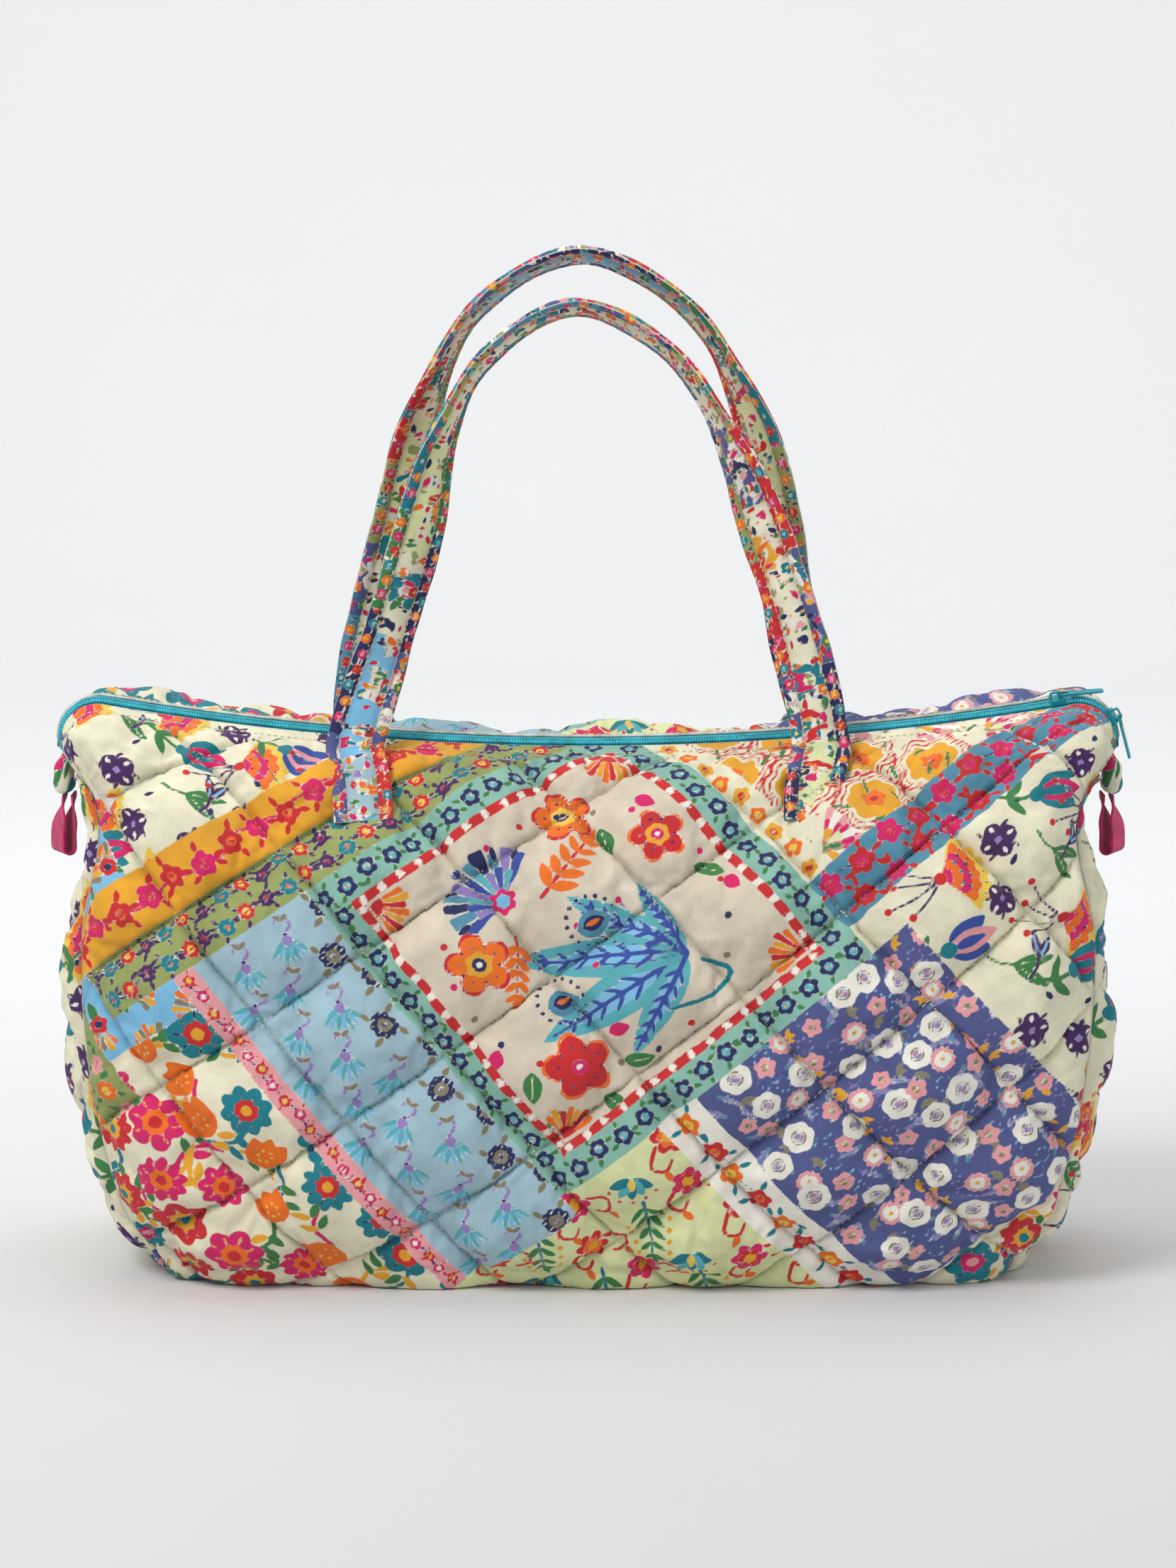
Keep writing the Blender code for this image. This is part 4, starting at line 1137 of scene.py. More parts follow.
PRINTED = print_material("printed_cotton")
STRAP_PRINTED = print_material("strap_cotton")
LINING = cloth_material("lining_cotton", (0.66, 0.63, 0.52), 0.0008)
BACKING = cloth_material("quilt_backing", (0.70, 0.68, 0.60), 0.0010)
THREAD = cloth_material("quilting_thread", (0.78, 0.68, 0.46), 0.0006, 0.6, 0.3)
TAPE = cloth_material("zip_tape_weave", (0.02, 0.42, 0.52), 0.0011, 0.8, 0.15)
COIL = cloth_material("zip_coil_nylon", (0.02, 0.46, 0.56), 0.0006, 0.42, 0.0, strength=0.2)
WEBBING = cloth_material("loop_webbing", (0.62, 0.008, 0.13), 0.0016, 0.8, 0.2, strength=0.9)
ENAMEL = enamel_material("turquoise_enamel", (0.008, 0.30, 0.36))


# ---------------------------------------------------------------- panels

FINE = 1


def finish_piece(made, body, slot, *nodes):
    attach(made, body)
    if nodes:
        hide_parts(*nodes)
    return made


SIM_STEP = 2  # the simulated cloth has one point for this many of the finished one
SIM_FRAMES = 16


def settle_cloth(few, sewn):
    """Runs the cloth simulation on a grid whose sewn points are held, and gives back its points."""
    rows, columns = few.shape[:2]
    made = new_object("settling", few.reshape(-1, 3), quads(0, rows, columns), [])
    facing = made.data.polygons[len(made.data.polygons) // 2]
    outward = np.cross(few[rows // 2, columns // 2 + 1] - few[rows // 2, columns // 2],
                       few[rows // 2 + 1, columns // 2] - few[rows // 2, columns // 2])
    centre = few.reshape(-1, 3).mean(0) * np.array([0, 0, 1])
    if np.dot(np.array(facing.normal), few[rows // 2, columns // 2] - centre) < 0:
        made.data.flip_normals()
    held = made.vertex_groups.new(name="sewn")
    held.add(np.nonzero(sewn.ravel())[0].tolist(), 1.0, "REPLACE")
    settings = made.modifiers.new("cloth", "CLOTH").settings
    settings.quality = 4
    settings.mass = 0.10
    settings.tension_stiffness = 12
    settings.compression_stiffness = 12
    settings.shear_stiffness = 5
    settings.bending_stiffness = 0.08
    settings.air_damping = 2.0
    settings.vertex_group_mass = "sewn"
    settings.shrink_min = -0.09
    settings.use_pressure = True
    settings.uniform_pressure_force = 4.0
    settings.effector_weights.gravity = 0
    made.modifiers["cloth"].collision_settings.use_collision = False
    cache = made.modifiers["cloth"].point_cache
    cache.frame_start, cache.frame_end = 1, SIM_FRAMES
    scene = bpy.context.scene
    for frame_number in range(1, SIM_FRAMES + 1):
        scene.frame_set(frame_number)
    shown = made.evaluated_get(bpy.context.evaluated_depsgraph_get())
    co = np.empty(len(shown.data.vertices) * 3)
    shown.data.vertices.foreach_get("co", co)
    bpy.data.objects.remove(made)
    scene.frame_set(1)
    return co.reshape(few.shape)


def spread_out(values, shape):
    """Values on a coarse grid spread smoothly over one SIM_STEP times finer."""
    rows = np.linspace(0, values.shape[0] - 1, shape[0])
    columns = np.linspace(0, values.shape[1] - 1, shape[1])
    r = np.minimum(rows.astype(int), values.shape[0] - 2)
    c = np.minimum(columns.astype(int), values.shape[1] - 2)
    fr, fc = (rows - r)[:, None, None], (columns - c)[None, :, None]
    upper = values[r][:, c] * (1 - fc) + values[r][:, c + 1] * fc
    lower = values[r + 1][:, c] * (1 - fc) + values[r + 1][:, c + 1] * fc
    return soften(upper * (1 - fr) + lower * fr, 1)


def soften(values, passes):
    for _ in range(passes):
        framed = np.concatenate([values[:1], values, values[-1:]], 0)
        values = (framed[:-2] + 2 * framed[1:-1] + framed[2:]) / 4
        framed = np.concatenate([values[:, :1], values, values[:, -1:]], 1)
        values = (framed[:, :-2] + 2 * framed[:, 1:-1] + framed[:, 2:]) / 4
    return values


class Cloth:
    """A quilted panel's surface: its grid of points, its cloth map, where the quilting lines run, and the painted
    shade along them and at its edges.
    """

    def __init__(self, name, skin, columns, rows, outward, middle_z, shift, seed, top_flat=0.0, upright=1):
        self.name, self.seed = name, seed
        base = skin(*np.meshgrid(columns, rows))
        middle = int(np.argmin(np.abs(base[:, base.shape[1] // 2, 2] - middle_z)))
        self.normals = grid_normals(base, outward)
        self.places = cloth_map(base, middle)
        self.ab = print_axes(self.places * (1, upright)) + np.array(shift)
        u, w = grid_lengths(base)
        self.edge = np.minimum(np.minimum(u, u[:, -1:] - u), w)
        self.top = w[-1:, :] - w
        near_edge = np.minimum(self.edge, self.top - top_flat)
        relief = quilt_relief(self.ab, seed)
        puffed = smoothstep(0.0, 0.016, near_edge)
        rolled = -0.0030 * (1 - smoothstep(0.0, 0.008, self.edge))
        flat_top = -0.0016 * (1 - smoothstep(0.0, 0.010, self.top - top_flat)) if top_flat else 0
        self.height = relief * puffed + rolled + flat_top + wrinkle_folds(self.places, seed + 20) * puffed
        gather = np.exp(-np.maximum(near_edge, 0) / 0.012) * smoothstep(0.0, 0.002, near_edge)
        ripple = self.places[..., 0] / 0.0031 + 3 * value_noise(self.places, 0.02, seed + 31)
        self.height += 0.0009 * gather * np.sin(ripple)
        self.base = base
        self.surface = base + self.height[..., None] * self.normals
        self.simulate(near_edge)
        ground = 0.0004 + 0.0003 * value_noise(self.places, 0.02, seed + 40)
        self.surface[..., 2] = np.maximum(self.surface[..., 2], ground)
        da, db = quilt_lines(self.ab)
        # Painted shade: darker along the quilting lines and towards the panel's edges.
        self.groove = np.exp(-np.minimum(da, db) / GROOVE_WIDTH) * puffed + np.exp(-np.maximum(self.edge, 0) / 0.003)

    def simulate(self, near_edge):
        """Blows the cloth out between its quilting lines, so that it settles in folds of its own."""
        da, db = quilt_lines(self.ab)
        start = self.base + (0.55 * self.height)[..., None] * self.normals
        few = start[::SIM_STEP, ::SIM_STEP]
        spacing = np.linalg.norm(few[1, 1] - few[1, 2])
        sewn = (np.minimum(da, db) < 0.5 * spacing) | (near_edge < 0.005) | (self.base[..., 2] < BASE_TOP)
        settled = settle_cloth(few, sewn[::SIM_STEP, ::SIM_STEP])
        moved = spread_out(settled - few, start.shape[:2])
        out = np.sum(moved * self.normals, -1, keepdims=True)
        moved += (np.clip(out, -0.003, 0.0085) - out) * self.normals
        fine = self.height - soften(self.height, 5)
        self.surface = start + moved + (0.8 * fine)[..., None] * self.normals

    def build(self, thickness, body_nodes, painter):
        inner = self.base - thickness[..., None] * self.normals
        made = padded_shell(f"{self.name}_quilt", self.surface, inner, [PRINTED, BACKING])
        print_onto(made, self.ab.reshape(-1, 2), painter, np.random.default_rng(self.seed),
                   np.clip(self.groove.ravel(), 0, 1))
        finish_piece(made, "bag", "quilt_print", *body_nodes)
        return made


def grid_look_up(cloth):
    """A function from cloth places (print axes) to points and normals on the finished surface."""
    flat = cloth.ab.reshape(-1, 2)
    tree = kdtree.KDTree(len(flat))
    for k, (x, y) in enumerate(flat):
        tree.insert((x, y, 0.0), k)
    tree.balance()
    rows, columns = cloth.ab.shape[:2]
    points = cloth.surface.reshape(-1, 3)
    normals = grid_normals(cloth.surface, cloth.normals).reshape(-1, 3)
    limit = 2.2 * np.linalg.norm(cloth.ab[rows // 2, columns // 2] - cloth.ab[rows // 2, columns // 2 + 1])

    def find(a, b):
        _, k, distance = tree.find((a, b, 0.0))
        if distance > limit:
            return None
        r, c = min(max(k // columns, 1), rows - 2), min(max(k % columns, 1), columns - 2)
        k = r * columns + c
        du = (cloth.ab[r, c + 1] - cloth.ab[r, c - 1]) / 2
        dw = (cloth.ab[r + 1, c] - cloth.ab[r - 1, c]) / 2
        det = du[0] * dw[1] - du[1] * dw[0]
        miss = np.array([a, b]) - cloth.ab[r, c]
        u = (miss[0] * dw[1] - miss[1] * dw[0]) / det
        w = (du[0] * miss[1] - du[1] * miss[0]) / det
        pu = (points[k + 1] - points[k - 1]) / 2
        pw = (points[k + columns] - points[k - columns]) / 2
        return points[k] + u * pu + w * pw, normals[k], k

    return find


STITCH, STITCH_GAP, THREAD_R = 0.0027, 0.0010, 0.00042
STITCH_PROFILE = ((0.0, 0.25, -0.9), (0.14, 0.85, -0.1), (0.5, 1.0, 0.25), (0.86, 0.85, -0.1), (1.0, 0.25, -0.9))


def stitch_mesh(name, runs, finish, radius=THREAD_R):
    """Short rounded threads between pairs of points, each with its surface normal."""
    points, faces = [], []
    for start, end, up in runs:
        along = unit(end - start)
        side = unit(np.cross(up, along))
        length = np.linalg.norm(end - start)
        first = len(points)
        for t, wide, lift in STITCH_PROFILE:
            centre = start + along * length * t + up * radius * (0.35 + lift)
            for k in range(6):
                angle = k * math.pi / 3
                points.append(centre + radius * wide * (side * math.cos(angle) + up * 0.8 * math.sin(angle)))
        faces += quads(first, 5, 6, wrap=True)
        faces += [list(range(first, first + 6)), list(range(first + 24, first + 30))[::-1]]
    made = new_object(name, points, faces, [finish])
    face_out(made.data)
    return made


def quilting_runs(cloth, top_flat):
    find = grid_look_up(cloth)
    low, high = cloth.ab.reshape(-1, 2).min(0), cloth.ab.reshape(-1, 2).max(0)
    edge, top = cloth.edge.ravel(), cloth.top.ravel()
    runs = []
    for axis in (0, 1):
        offset = (QUILT_A, QUILT_B)[axis]
        for line in range(math.ceil((low[axis] - offset) / CELL), math.floor((high[axis] - offset) / CELL) + 1):
            fixed = offset + line * CELL
            t = low[1 - axis]
            while t < high[1 - axis]:
                ends = []
                for step in (0.0, STITCH):
                    place = (fixed, t + step) if axis == 0 else (t + step, fixed)
                    ends.append(find(*place))
                t += STITCH + STITCH_GAP
                if ends[0] is None or ends[1] is None:
                    continue
                if min(edge[ends[0][2]], top[ends[0][2]] - top_flat) < 0.004:
                    continue
                runs.append((ends[0][0], ends[1][0], ends[0][1]))
    return runs


def topstitch_runs(cloth, below):
    """The row of stitches that holds the zip, at an even distance below the panel's top edge."""
    line, normals = [], []
    surface_normals = grid_normals(cloth.surface, cloth.normals)
    for c in range(cloth.top.shape[1]):
        high = cloth.top[::-1, c]
        r = float(np.interp(below, high, np.arange(len(high))))
        r = len(high) - 1 - r
        k = min(int(r), len(high) - 2)
        f = r - k
        line.append(cloth.surface[k, c] * (1 - f) + cloth.surface[k + 1, c] * f)
        normals.append(surface_normals[k, c])
    line, normals = np.array(line), np.array(normals)
    lengths = line_lengths(line)
    runs = []
    for start in np.arange(0.004, lengths[-1] - 0.006, STITCH + STITCH_GAP):
        a, b = [np.array([np.interp(d, lengths, line[:, k]) for k in range(3)]) for d in (start, start + STITCH)]
        runs.append((a, b, normals[int(np.searchsorted(lengths, start))]))
    return runs


PANEL_COLUMNS = 66 * INNER_STEP // FINE + 1
PANEL_ROWS = 38 * INNER_STEP // FINE + 1
GUSSET_COUNT = 34
TOP_FLAT = 0.0075  # the strip between the zip and its line of stitches


THINNING = 0.62  # the share of its thickness that the padding loses at the ears and the zip


def wall_thickness(s, v):
    ear = smoothstep(0.62, 0.9, np.abs(s)) * smoothstep(0.62, 0.85, v)
    return PANEL_THICK * (1 - THINNING * np.maximum(ear, smoothstep(0.88, 1.0, v)))


def gusset_thickness(w, v):
    return PANEL_THICK * (1 - THINNING * smoothstep(0.62, 0.85, v))


LOWEST = -UNDER / WALL_LENGTH


def build_panels():
    """The front and back panels and the two gussets, with their stitches."""
    for side, seed in ((-1, 11), (1, 47)):
        name = BAG_NAMES[side]

        def skin(s, v, side=side):
            return tucked(wall_point(side, s, np.maximum(v, 0)), v)

        columns = np.linspace(-1, 1, PANEL_COLUMNS)
        rows = even_rows(skin, 1.0, PANEL_ROWS, LOWEST)
        cloth = Cloth(f"{name}_panel", skin, columns, rows, np.array([0, side, 0.3]), PRINT_CENTRE_Z, (0, 0), seed,
                      TOP_FLAT, -side)
        thick = wall_thickness(*np.meshgrid(columns, rows))
        cloth.build(thick, [f"{name}_panel"], patchwork)
        stitches = stitch_mesh(f"{name}_quilting", quilting_runs(cloth, TOP_FLAT), THREAD)
        finish_piece(stitches, "bag", "quilt_print")
        edging = stitch_mesh(f"{name}_topstitching", topstitch_runs(cloth, TOP_FLAT), THREAD)
        finish_piece(edging, "bag", "quilt_print")
    for end, name, shift, seed in ((-1, "left", (-0.21, -0.30), 71), (1, "right", (0.30, 0.16), 93)):

        def skin(w, v, end=end):
            return tucked(gusset_point(end, w, np.maximum(v, 0)), v)

        columns = np.linspace(-1, 1, 18 * INNER_STEP // FINE + 1)
        rows = even_rows(skin, GUSSET_TOP, GUSSET_COUNT * INNER_STEP // FINE + 1, LOWEST)
        cloth = Cloth(f"{name}_gusset", skin, columns, rows, np.array([end, 0, 0]), PRINT_CENTRE_Z, shift, seed)
        thick = gusset_thickness(*np.meshgrid(columns, rows))
        cloth.build(thick, [f"{name}_gusset"], patchwork)
        stitches = stitch_mesh(f"{name}_gusset_quilting", quilting_runs(cloth, 0.0), THREAD)
        finish_piece(stitches, "bag", "quilt_print")


# ---------------------------------------------------------------- base, lining, tabs

def base_outline():
    """The walls' lower edge, once round the bag."""
    s = np.linspace(-1, 1, 161)
    w = np.linspace(-1, 1, 43)[1:-1]
    zero_s, zero_w = 0 * s, 0 * w
    return np.concatenate([wall_point(-1, s, zero_s), gusset_point(1, w, zero_w),
                           wall_point(1, s[::-1], zero_s), gusset_point(-1, w[::-1], zero_w)])


def build_base():
    outline = base_outline()
    half_x, half_y = outline[:, 0].max(), outline[:, 1].max()
    section = [(inset, 0.0012) for inset in (0.095, 0.080, 0.065, 0.052, 0.040, 0.032)]
    section += [(0.025, 0.0014), (0.020, 0.0020), (0.0188, 0.0036), (0.0188, 0.0060), (0.0200, 0.0076),
                (0.028, 0.0080)]
    rings = [np.stack([outline[:, 0] * (1 - inset / half_x), outline[:, 1] * (1 - min(inset, 0.96 * half_y) / half_y),
                       0 * outline[:, 0] + z], -1) for inset, z in section]
    rings = np.array(rings)
    made = sweep("base_quilt", rings, [PRINTED])
    points = rings.reshape(-1, 3)
    places = points[:, :2] + points[:, 2:] * unit(points[:, :2])
    ab = print_axes(places) + np.array((-0.10, 0.22))
    da, db = quilt_lines(ab)
    # The last argument is painted shade along the quilting lines.
    print_onto(made, ab, patchwork, np.random.default_rng(5), np.exp(-np.minimum(da, db) / GROOVE_WIDTH))
    finish_piece(made, "bag", "quilt_print", "base_panel")


LINING_ROWS_TOP = {"wall": 0.89, "gusset": 0.76}


def sheet_between(name, near, far, materials):
    """A thin closed sheet between two grids with the same points."""
    rows, columns = near.shape[:2]
    faces = quads(0, rows, columns) + [f[::-1] for f in quads(rows * columns, rows, columns)]
    rim = [(0, c) for c in range(columns)] + [(r, columns - 1) for r in range(1, rows)]
    rim += [(rows - 1, c) for c in range(columns - 2, -1, -1)] + [(r, 0) for r in range(rows - 2, 0, -1)]
    for (r0, c0), (r1, c1) in zip(rim, rim[1:] + rim[:1]):
        a, b = r0 * columns + c0, r1 * columns + c1
        faces.append((b, a, a + rows * columns, b + rows * columns))
    made = new_object(name, np.concatenate([near.reshape(-1, 3), far.reshape(-1, 3)]), faces, materials)
    face_out(made.data)
    return made


def build_lining():
    """The lining's five pieces: slack cotton just inside the padding."""
    jobs = []
    for side in (-1, 1):
        jobs.append((BAG_NAMES[side], lambda s, v, side=side: wall_point(side, s, v), np.linspace(-1, 1, 121),
                     LINING_ROWS_TOP["wall"], np.array([0, side, 0.3]), wall_thickness))
    for end, name in ((-1, "left"), (1, "right")):
        jobs.append((name, lambda w, v, end=end: gusset_point(end, w, v), np.linspace(-0.96, 0.96, 41),
                     LINING_ROWS_TOP["gusset"], np.array([end, 0, 0]), gusset_thickness))
    for name, skin, columns, top, outward, thickness in jobs:
        rows = np.linspace(0.0, top, 61)
        s, v = np.meshgrid(columns, rows)
        base = skin(s, v)
        normals = grid_normals(base, outward)
        places = cloth_map(base, 20)
        slack = 0.0006 * (1 + value_noise(places, 0.03, 7)) + 0.0004 * (1 + value_noise(places, 0.011, 8))
        depth = thickness(s, v) + GAP + slack
        near = base - depth[..., None] * normals
        far = base - (depth + 0.0007)[..., None] * normals
        made = sheet_between(f"lining_{name}_cloth", near, far, [LINING])
        finish_piece(made, "bag", "lining", f"lining_{name}")
    low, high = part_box("lining_base")
    outline = base_outline()[::2]
    shape = outline[:, :2] / np.abs(outline[:, :2]).max(0)
    rings = []
    for share in (0.05, 0.35, 0.65, 0.9, 1.0):
        flat = shape * share * np.array([high[0], high[1]])
        lift = 0.0005 * value_noise(flat, 0.03, 9) + (0.0022 if share == 1.0 else 0.0)
        rings.append(np.column_stack([flat, low[2] + 0.0006 + lift]))
    rings += [ring + np.array([0, 0, 0.0007]) for ring in rings[::-1]]
    made = sweep("lining_base_cloth", rings, [LINING])
    finish_piece(made, "bag", "lining", "lining_base")


TAB_RISE = 0.008  # how far a tab runs up inside the ear's seam


def build_tabs():
    """The small folded tabs of cloth that close the ears."""
    for end, name in ((-1, "left"), (1, "right")):
        low, high = [np.array(p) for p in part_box(f"end_tab_{name}")]
        rings = []
        middle, half = (low + high) / 2, (high - low) / 2
        outside = end * max(abs(low[0]), abs(high[0]))
        for t in np.linspace(-1, 1, 25):
            z = low[2] + (high[2] + TAB_RISE - low[2]) * (t + 1) / 2
            wide = half[1] * (1 - 0.22 * smoothstep(0.0, 1.0, t))
            fat = 0.0056 - 0.0016 * smoothstep(-0.2, 1.0, t)
            round_off = (1 - abs(t) ** 7) ** 0.5 if abs(t) < 1 else 0.0
            x = outside - end * (fat + 0.0045 * smoothstep(0.0, 1.0, t))
            ring = []
            for k in range(40):
                angle = 2 * math.pi * k / 40
                c, s = math.cos(angle), math.sin(angle)
                dx = fat * (0.35 + 0.65 * round_off) * math.copysign(abs(c) ** 0.75, c)
                dy = wide * (0.85 + 0.15 * round_off) * math.copysign(abs(s) ** 0.6, s)
                crease = 0.0004 * math.sin(z / 0.0017 + 2 * math.sin(angle))
                ring.append((x + dx * (1 + crease / fat), middle[1] + dy, z))
            rings.append(ring)
        rings = np.array(rings)
        made = sweep(f"end_tab_{name}_cloth", rings, [PRINTED])
        points = rings.reshape(-1, 3)
        ab = np.stack([1.3 * points[:, 0] + points[:, 1], points[:, 2] - 0.6 * points[:, 0]], -1)
        ab = ab + np.array((0.15, -0.30))
        print_onto(made, ab, lambda cloth, rng: patch_folk(cloth, (-0.4, 0.7, -0.5, 0.5), rng),
                   np.random.default_rng(3), np.zeros(len(points)))
        finish_piece(made, "bag", "quilt_print", f"end_tab_{name}")


LOOP_TWIST = math.radians(27)  # how far a loop turns below the ear
LOOP_SPLAY = 0.0035


def build_end_loops():
    """The magenta webbing loops below the ears, folded in half and sewn to the tabs."""
    outer, thick, ribs = 0.0040, 0.0012, 10
    for end, name in ((-1, "left"), (1, "right")):
        low, high = [np.array(p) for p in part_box(f"end_loop_{name}")]
        x, y, top = (low[0] + high[0]) / 2, (low[1] + high[1]) / 2, high[2]
        length, wide = high[2] - low[2], high[1] - low[1]
        path = []
        for t in np.linspace(0, 1, 18):
            path.append((-outer * (1 - 0.25 * (1 - t) ** 2), -t * (length - outer), 0.0))
        for a in np.linspace(0, math.pi, 15)[1:-1]:
            path.append((-outer * math.cos(a), -(length - outer) - outer * math.sin(a), a))
        for t in np.linspace(1, 0, 18):
            path.append((outer * (1 - 0.25 * (1 - t) ** 2), -t * (length - outer), math.pi))
        rings = []
        for px, pz, angle in path:
            inward = (math.cos(angle), math.sin(angle))
            face = [(-1 + 2 * k / ribs, 0.00012 * (k % 2)) for k in range(ribs + 1)]
            face += [(u, thick - d) for u, d in face[::-1]]
            down = -pz / length
            twist = -end * LOOP_TWIST * smoothstep(0.05, 0.55, down)
            c, s = math.cos(twist), math.sin(twist)
            splay = end * LOOP_SPLAY * smoothstep(0.0, 0.7, down)
            ring = []
            for u, d in face:
                dx, dy = px + inward[0] * d, u * wide / 2 * 0.97
                ring.append((x + splay + c * dx - s * dy, y + s * dx + c * dy, top + pz + inward[1] * d))
            rings.append(ring)
        made = sweep(f"end_loop_{name}_webbing", rings, [WEBBING])
        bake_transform(made)
        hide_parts(f"end_loop_{name}")


# ---------------------------------------------------------------- zip

TAPE_SEWN_IN = 0.003  # the part of the tape that is caught in the panel's seam


def zip_places():
    """Places along the zip line, closer round the bends."""
    half = np.concatenate([np.linspace(0, SAG_LENGTH, 150)[:-1],
                           np.linspace(SAG_LENGTH, ZIP_HALF_LENGTH, 31)]) / ZIP_HALF_LENGTH
    return np.concatenate([-half[:0:-1], half])


def build_zip():
    s = zip_places()
    for side in (-1, 1):
        name = BAG_NAMES[side]
        section = [(COIL_SLOT, -0.0004), (0.0018, -0.0004), (0.0048, -0.0004), (TAPE_HALF + TAPE_SEWN_IN, -0.0004),
                   (TAPE_HALF + TAPE_SEWN_IN, 0.0004), (0.0064, 0.0005), (0.0058, 0.0003), (0.0046, 0.00035),
                   (0.0040, 0.0004), (COIL_SLOT, 0.0004)]
        rings = np.stack([on_zip(s, side * a, o) for a, o in section], 1)
        tape = sweep(f"zip_tape_{name}_weave", rings, [TAPE])
        finish_piece(tape, "bag", "zip_tape", f"zip_tape_{name}")
        build_coil(side, name)


COIL_PITCH = 0.0015


def build_coil(side, name):
    """One row of the zip's teeth: a loop of nylon for each, over a cord."""
    reach = 0.985 * ZIP_HALF_LENGTH
    count = int(2 * reach / COIL_PITCH)
    points, faces = [], []
    profile = [(0.0008, 0.0010), (0.0009, 0.0022), (0.0014, 0.0027), (0.0023, 0.0027), (0.0030, 0.0021),
               (0.0033, 0.0013), (0.0032, 0.0009)]
    for k in range(count):
        along = -reach + (k + 0.5 + 0.5 * (side > 0)) * COIL_PITCH
        if along > reach:
            continue
        first = len(points)
        for wide, ds in ((0.55, -0.42), (1.0, -0.2), (1.0, 0.2), (0.55, 0.42)):
            s = np.full(len(profile), (along + ds * COIL_PITCH) / ZIP_HALF_LENGTH)
            a = np.array([p[0] for p in profile])
            o = np.array([p[1] for p in profile])
            mid_a, mid_o = a.mean(), o.mean()
            points.extend(on_zip(s, side * (mid_a + (a - mid_a) * (0.8 + 0.2 * wide)), mid_o + (o - mid_o) * wide))
        faces += quads(first, 4, len(profile), wrap=True)
        n = len(profile)
        faces += [list(range(first, first + n)), list(range(first + 3 * n, first + 4 * n))[::-1]]
    made = new_object(f"zip_coil_{name}_teeth", points, faces, [COIL])
    face_out(made.data)
    finish_piece(made, "bag", "zip_coil", f"zip_coil_{name}")


# ---------------------------------------------------------------- straps

STRAP_RINGS = 420
STRAP_ROUND = 60
STRAP_HALF_THICK = 0.0030
ROW_X = 0.0085  # the strap's rows of stitches are this far to each side of its middle
ROW_VALLEY = 0.0042  # how far from a row the padding is full again
SEWN_FLAT, SEWN_FULL = 0.028, 0.044  # a strap's sewn end is flatter up to the first, and fully round from the second


def strap_line(side):
    """The strap's centre line and the direction across it, from one sewn end to the other."""
    foot_v = ANCHOR_HIGH + 0.012
    tilt = np.array([0.0, side, 0.3])

    def skin_frame(x, v):
        s = s_at(x * 1.045)
        grid = wall_point(side, *np.meshgrid(np.array([s - 2e-4, s, s + 2e-4]), np.array([v - 2e-4, v, v + 2e-4])))
        return grid[1, 1], grid_normals(grid, tilt)[1, 1]

    feet = []
    for end in (-1, 1):
        x = end * STRAP_ANCHOR_X
        sewn = []
        for v in np.linspace(ANCHOR_LOW + 0.004, ANCHOR_HIGH - 0.006, 5):
            point, normal = skin_frame(x, v)
            sewn.append(point + normal * (0.0040 + 0.0012 * (v - ANCHOR_LOW) / (ANCHOR_HIGH - ANCHOR_LOW)))
        point, normal = skin_frame(x, foot_v)
        foot = point + normal * STRAP_LIFT
        feet.append((sewn, foot))
    foot_z = feet[0][1][2]
    route = list(feet[0][0]) + [feet[0][1]]
    route += [np.array([x, side * y, foot_z + h]) for x, h, y in STRAP_ROUTE[side]]
    route += [feet[1][1]] + list(feet[1][0][::-1])
    route = np.array(route)
    lengths = line_lengths(route)
    share = lengths / lengths[-1]
    t = np.linspace(0, 1, STRAP_RINGS)
    line = np.stack([through(list(zip(share, route[:, k])), t) for k in range(3)], -1)
    tangent = unit(np.gradient(line, axis=0))
    first, last = share[5], share[-6]
    loop = np.clip((t - first) / (last - first), 0, 1)
    from_foot = np.minimum(loop, 1 - loop)
    turn = np.radians(45) * smoothstep(0.20, 0.36, from_foot) + np.radians(30) * smoothstep(0.0, 0.12, from_foot)
    back = np.array([0.0, 1.0, 0.0])
    flat = unit(np.cross(back, tangent))
    across = flat * np.cos(turn)[:, None] + back * np.sin(turn)[:, None]
    sewn_part = ((t < first) | (t > last))[:, None]
    across = np.where(sewn_part, unit(flat * np.array([1.0, 0.0, 0.0])), across)
    kernel = np.hanning(13) / np.hanning(13).sum()
    padded_across = np.concatenate([np.repeat(across[:1], 6, 0), across, np.repeat(across[-1:], 6, 0)])
    across = np.stack([np.convolve(padded_across[:, k], kernel, "valid") for k in range(3)], -1)
    across = unit(across - np.sum(across * tangent, -1, keepdims=True) * tangent)
    return line, tangent, across, lengths[-1], (first, last), foot_z


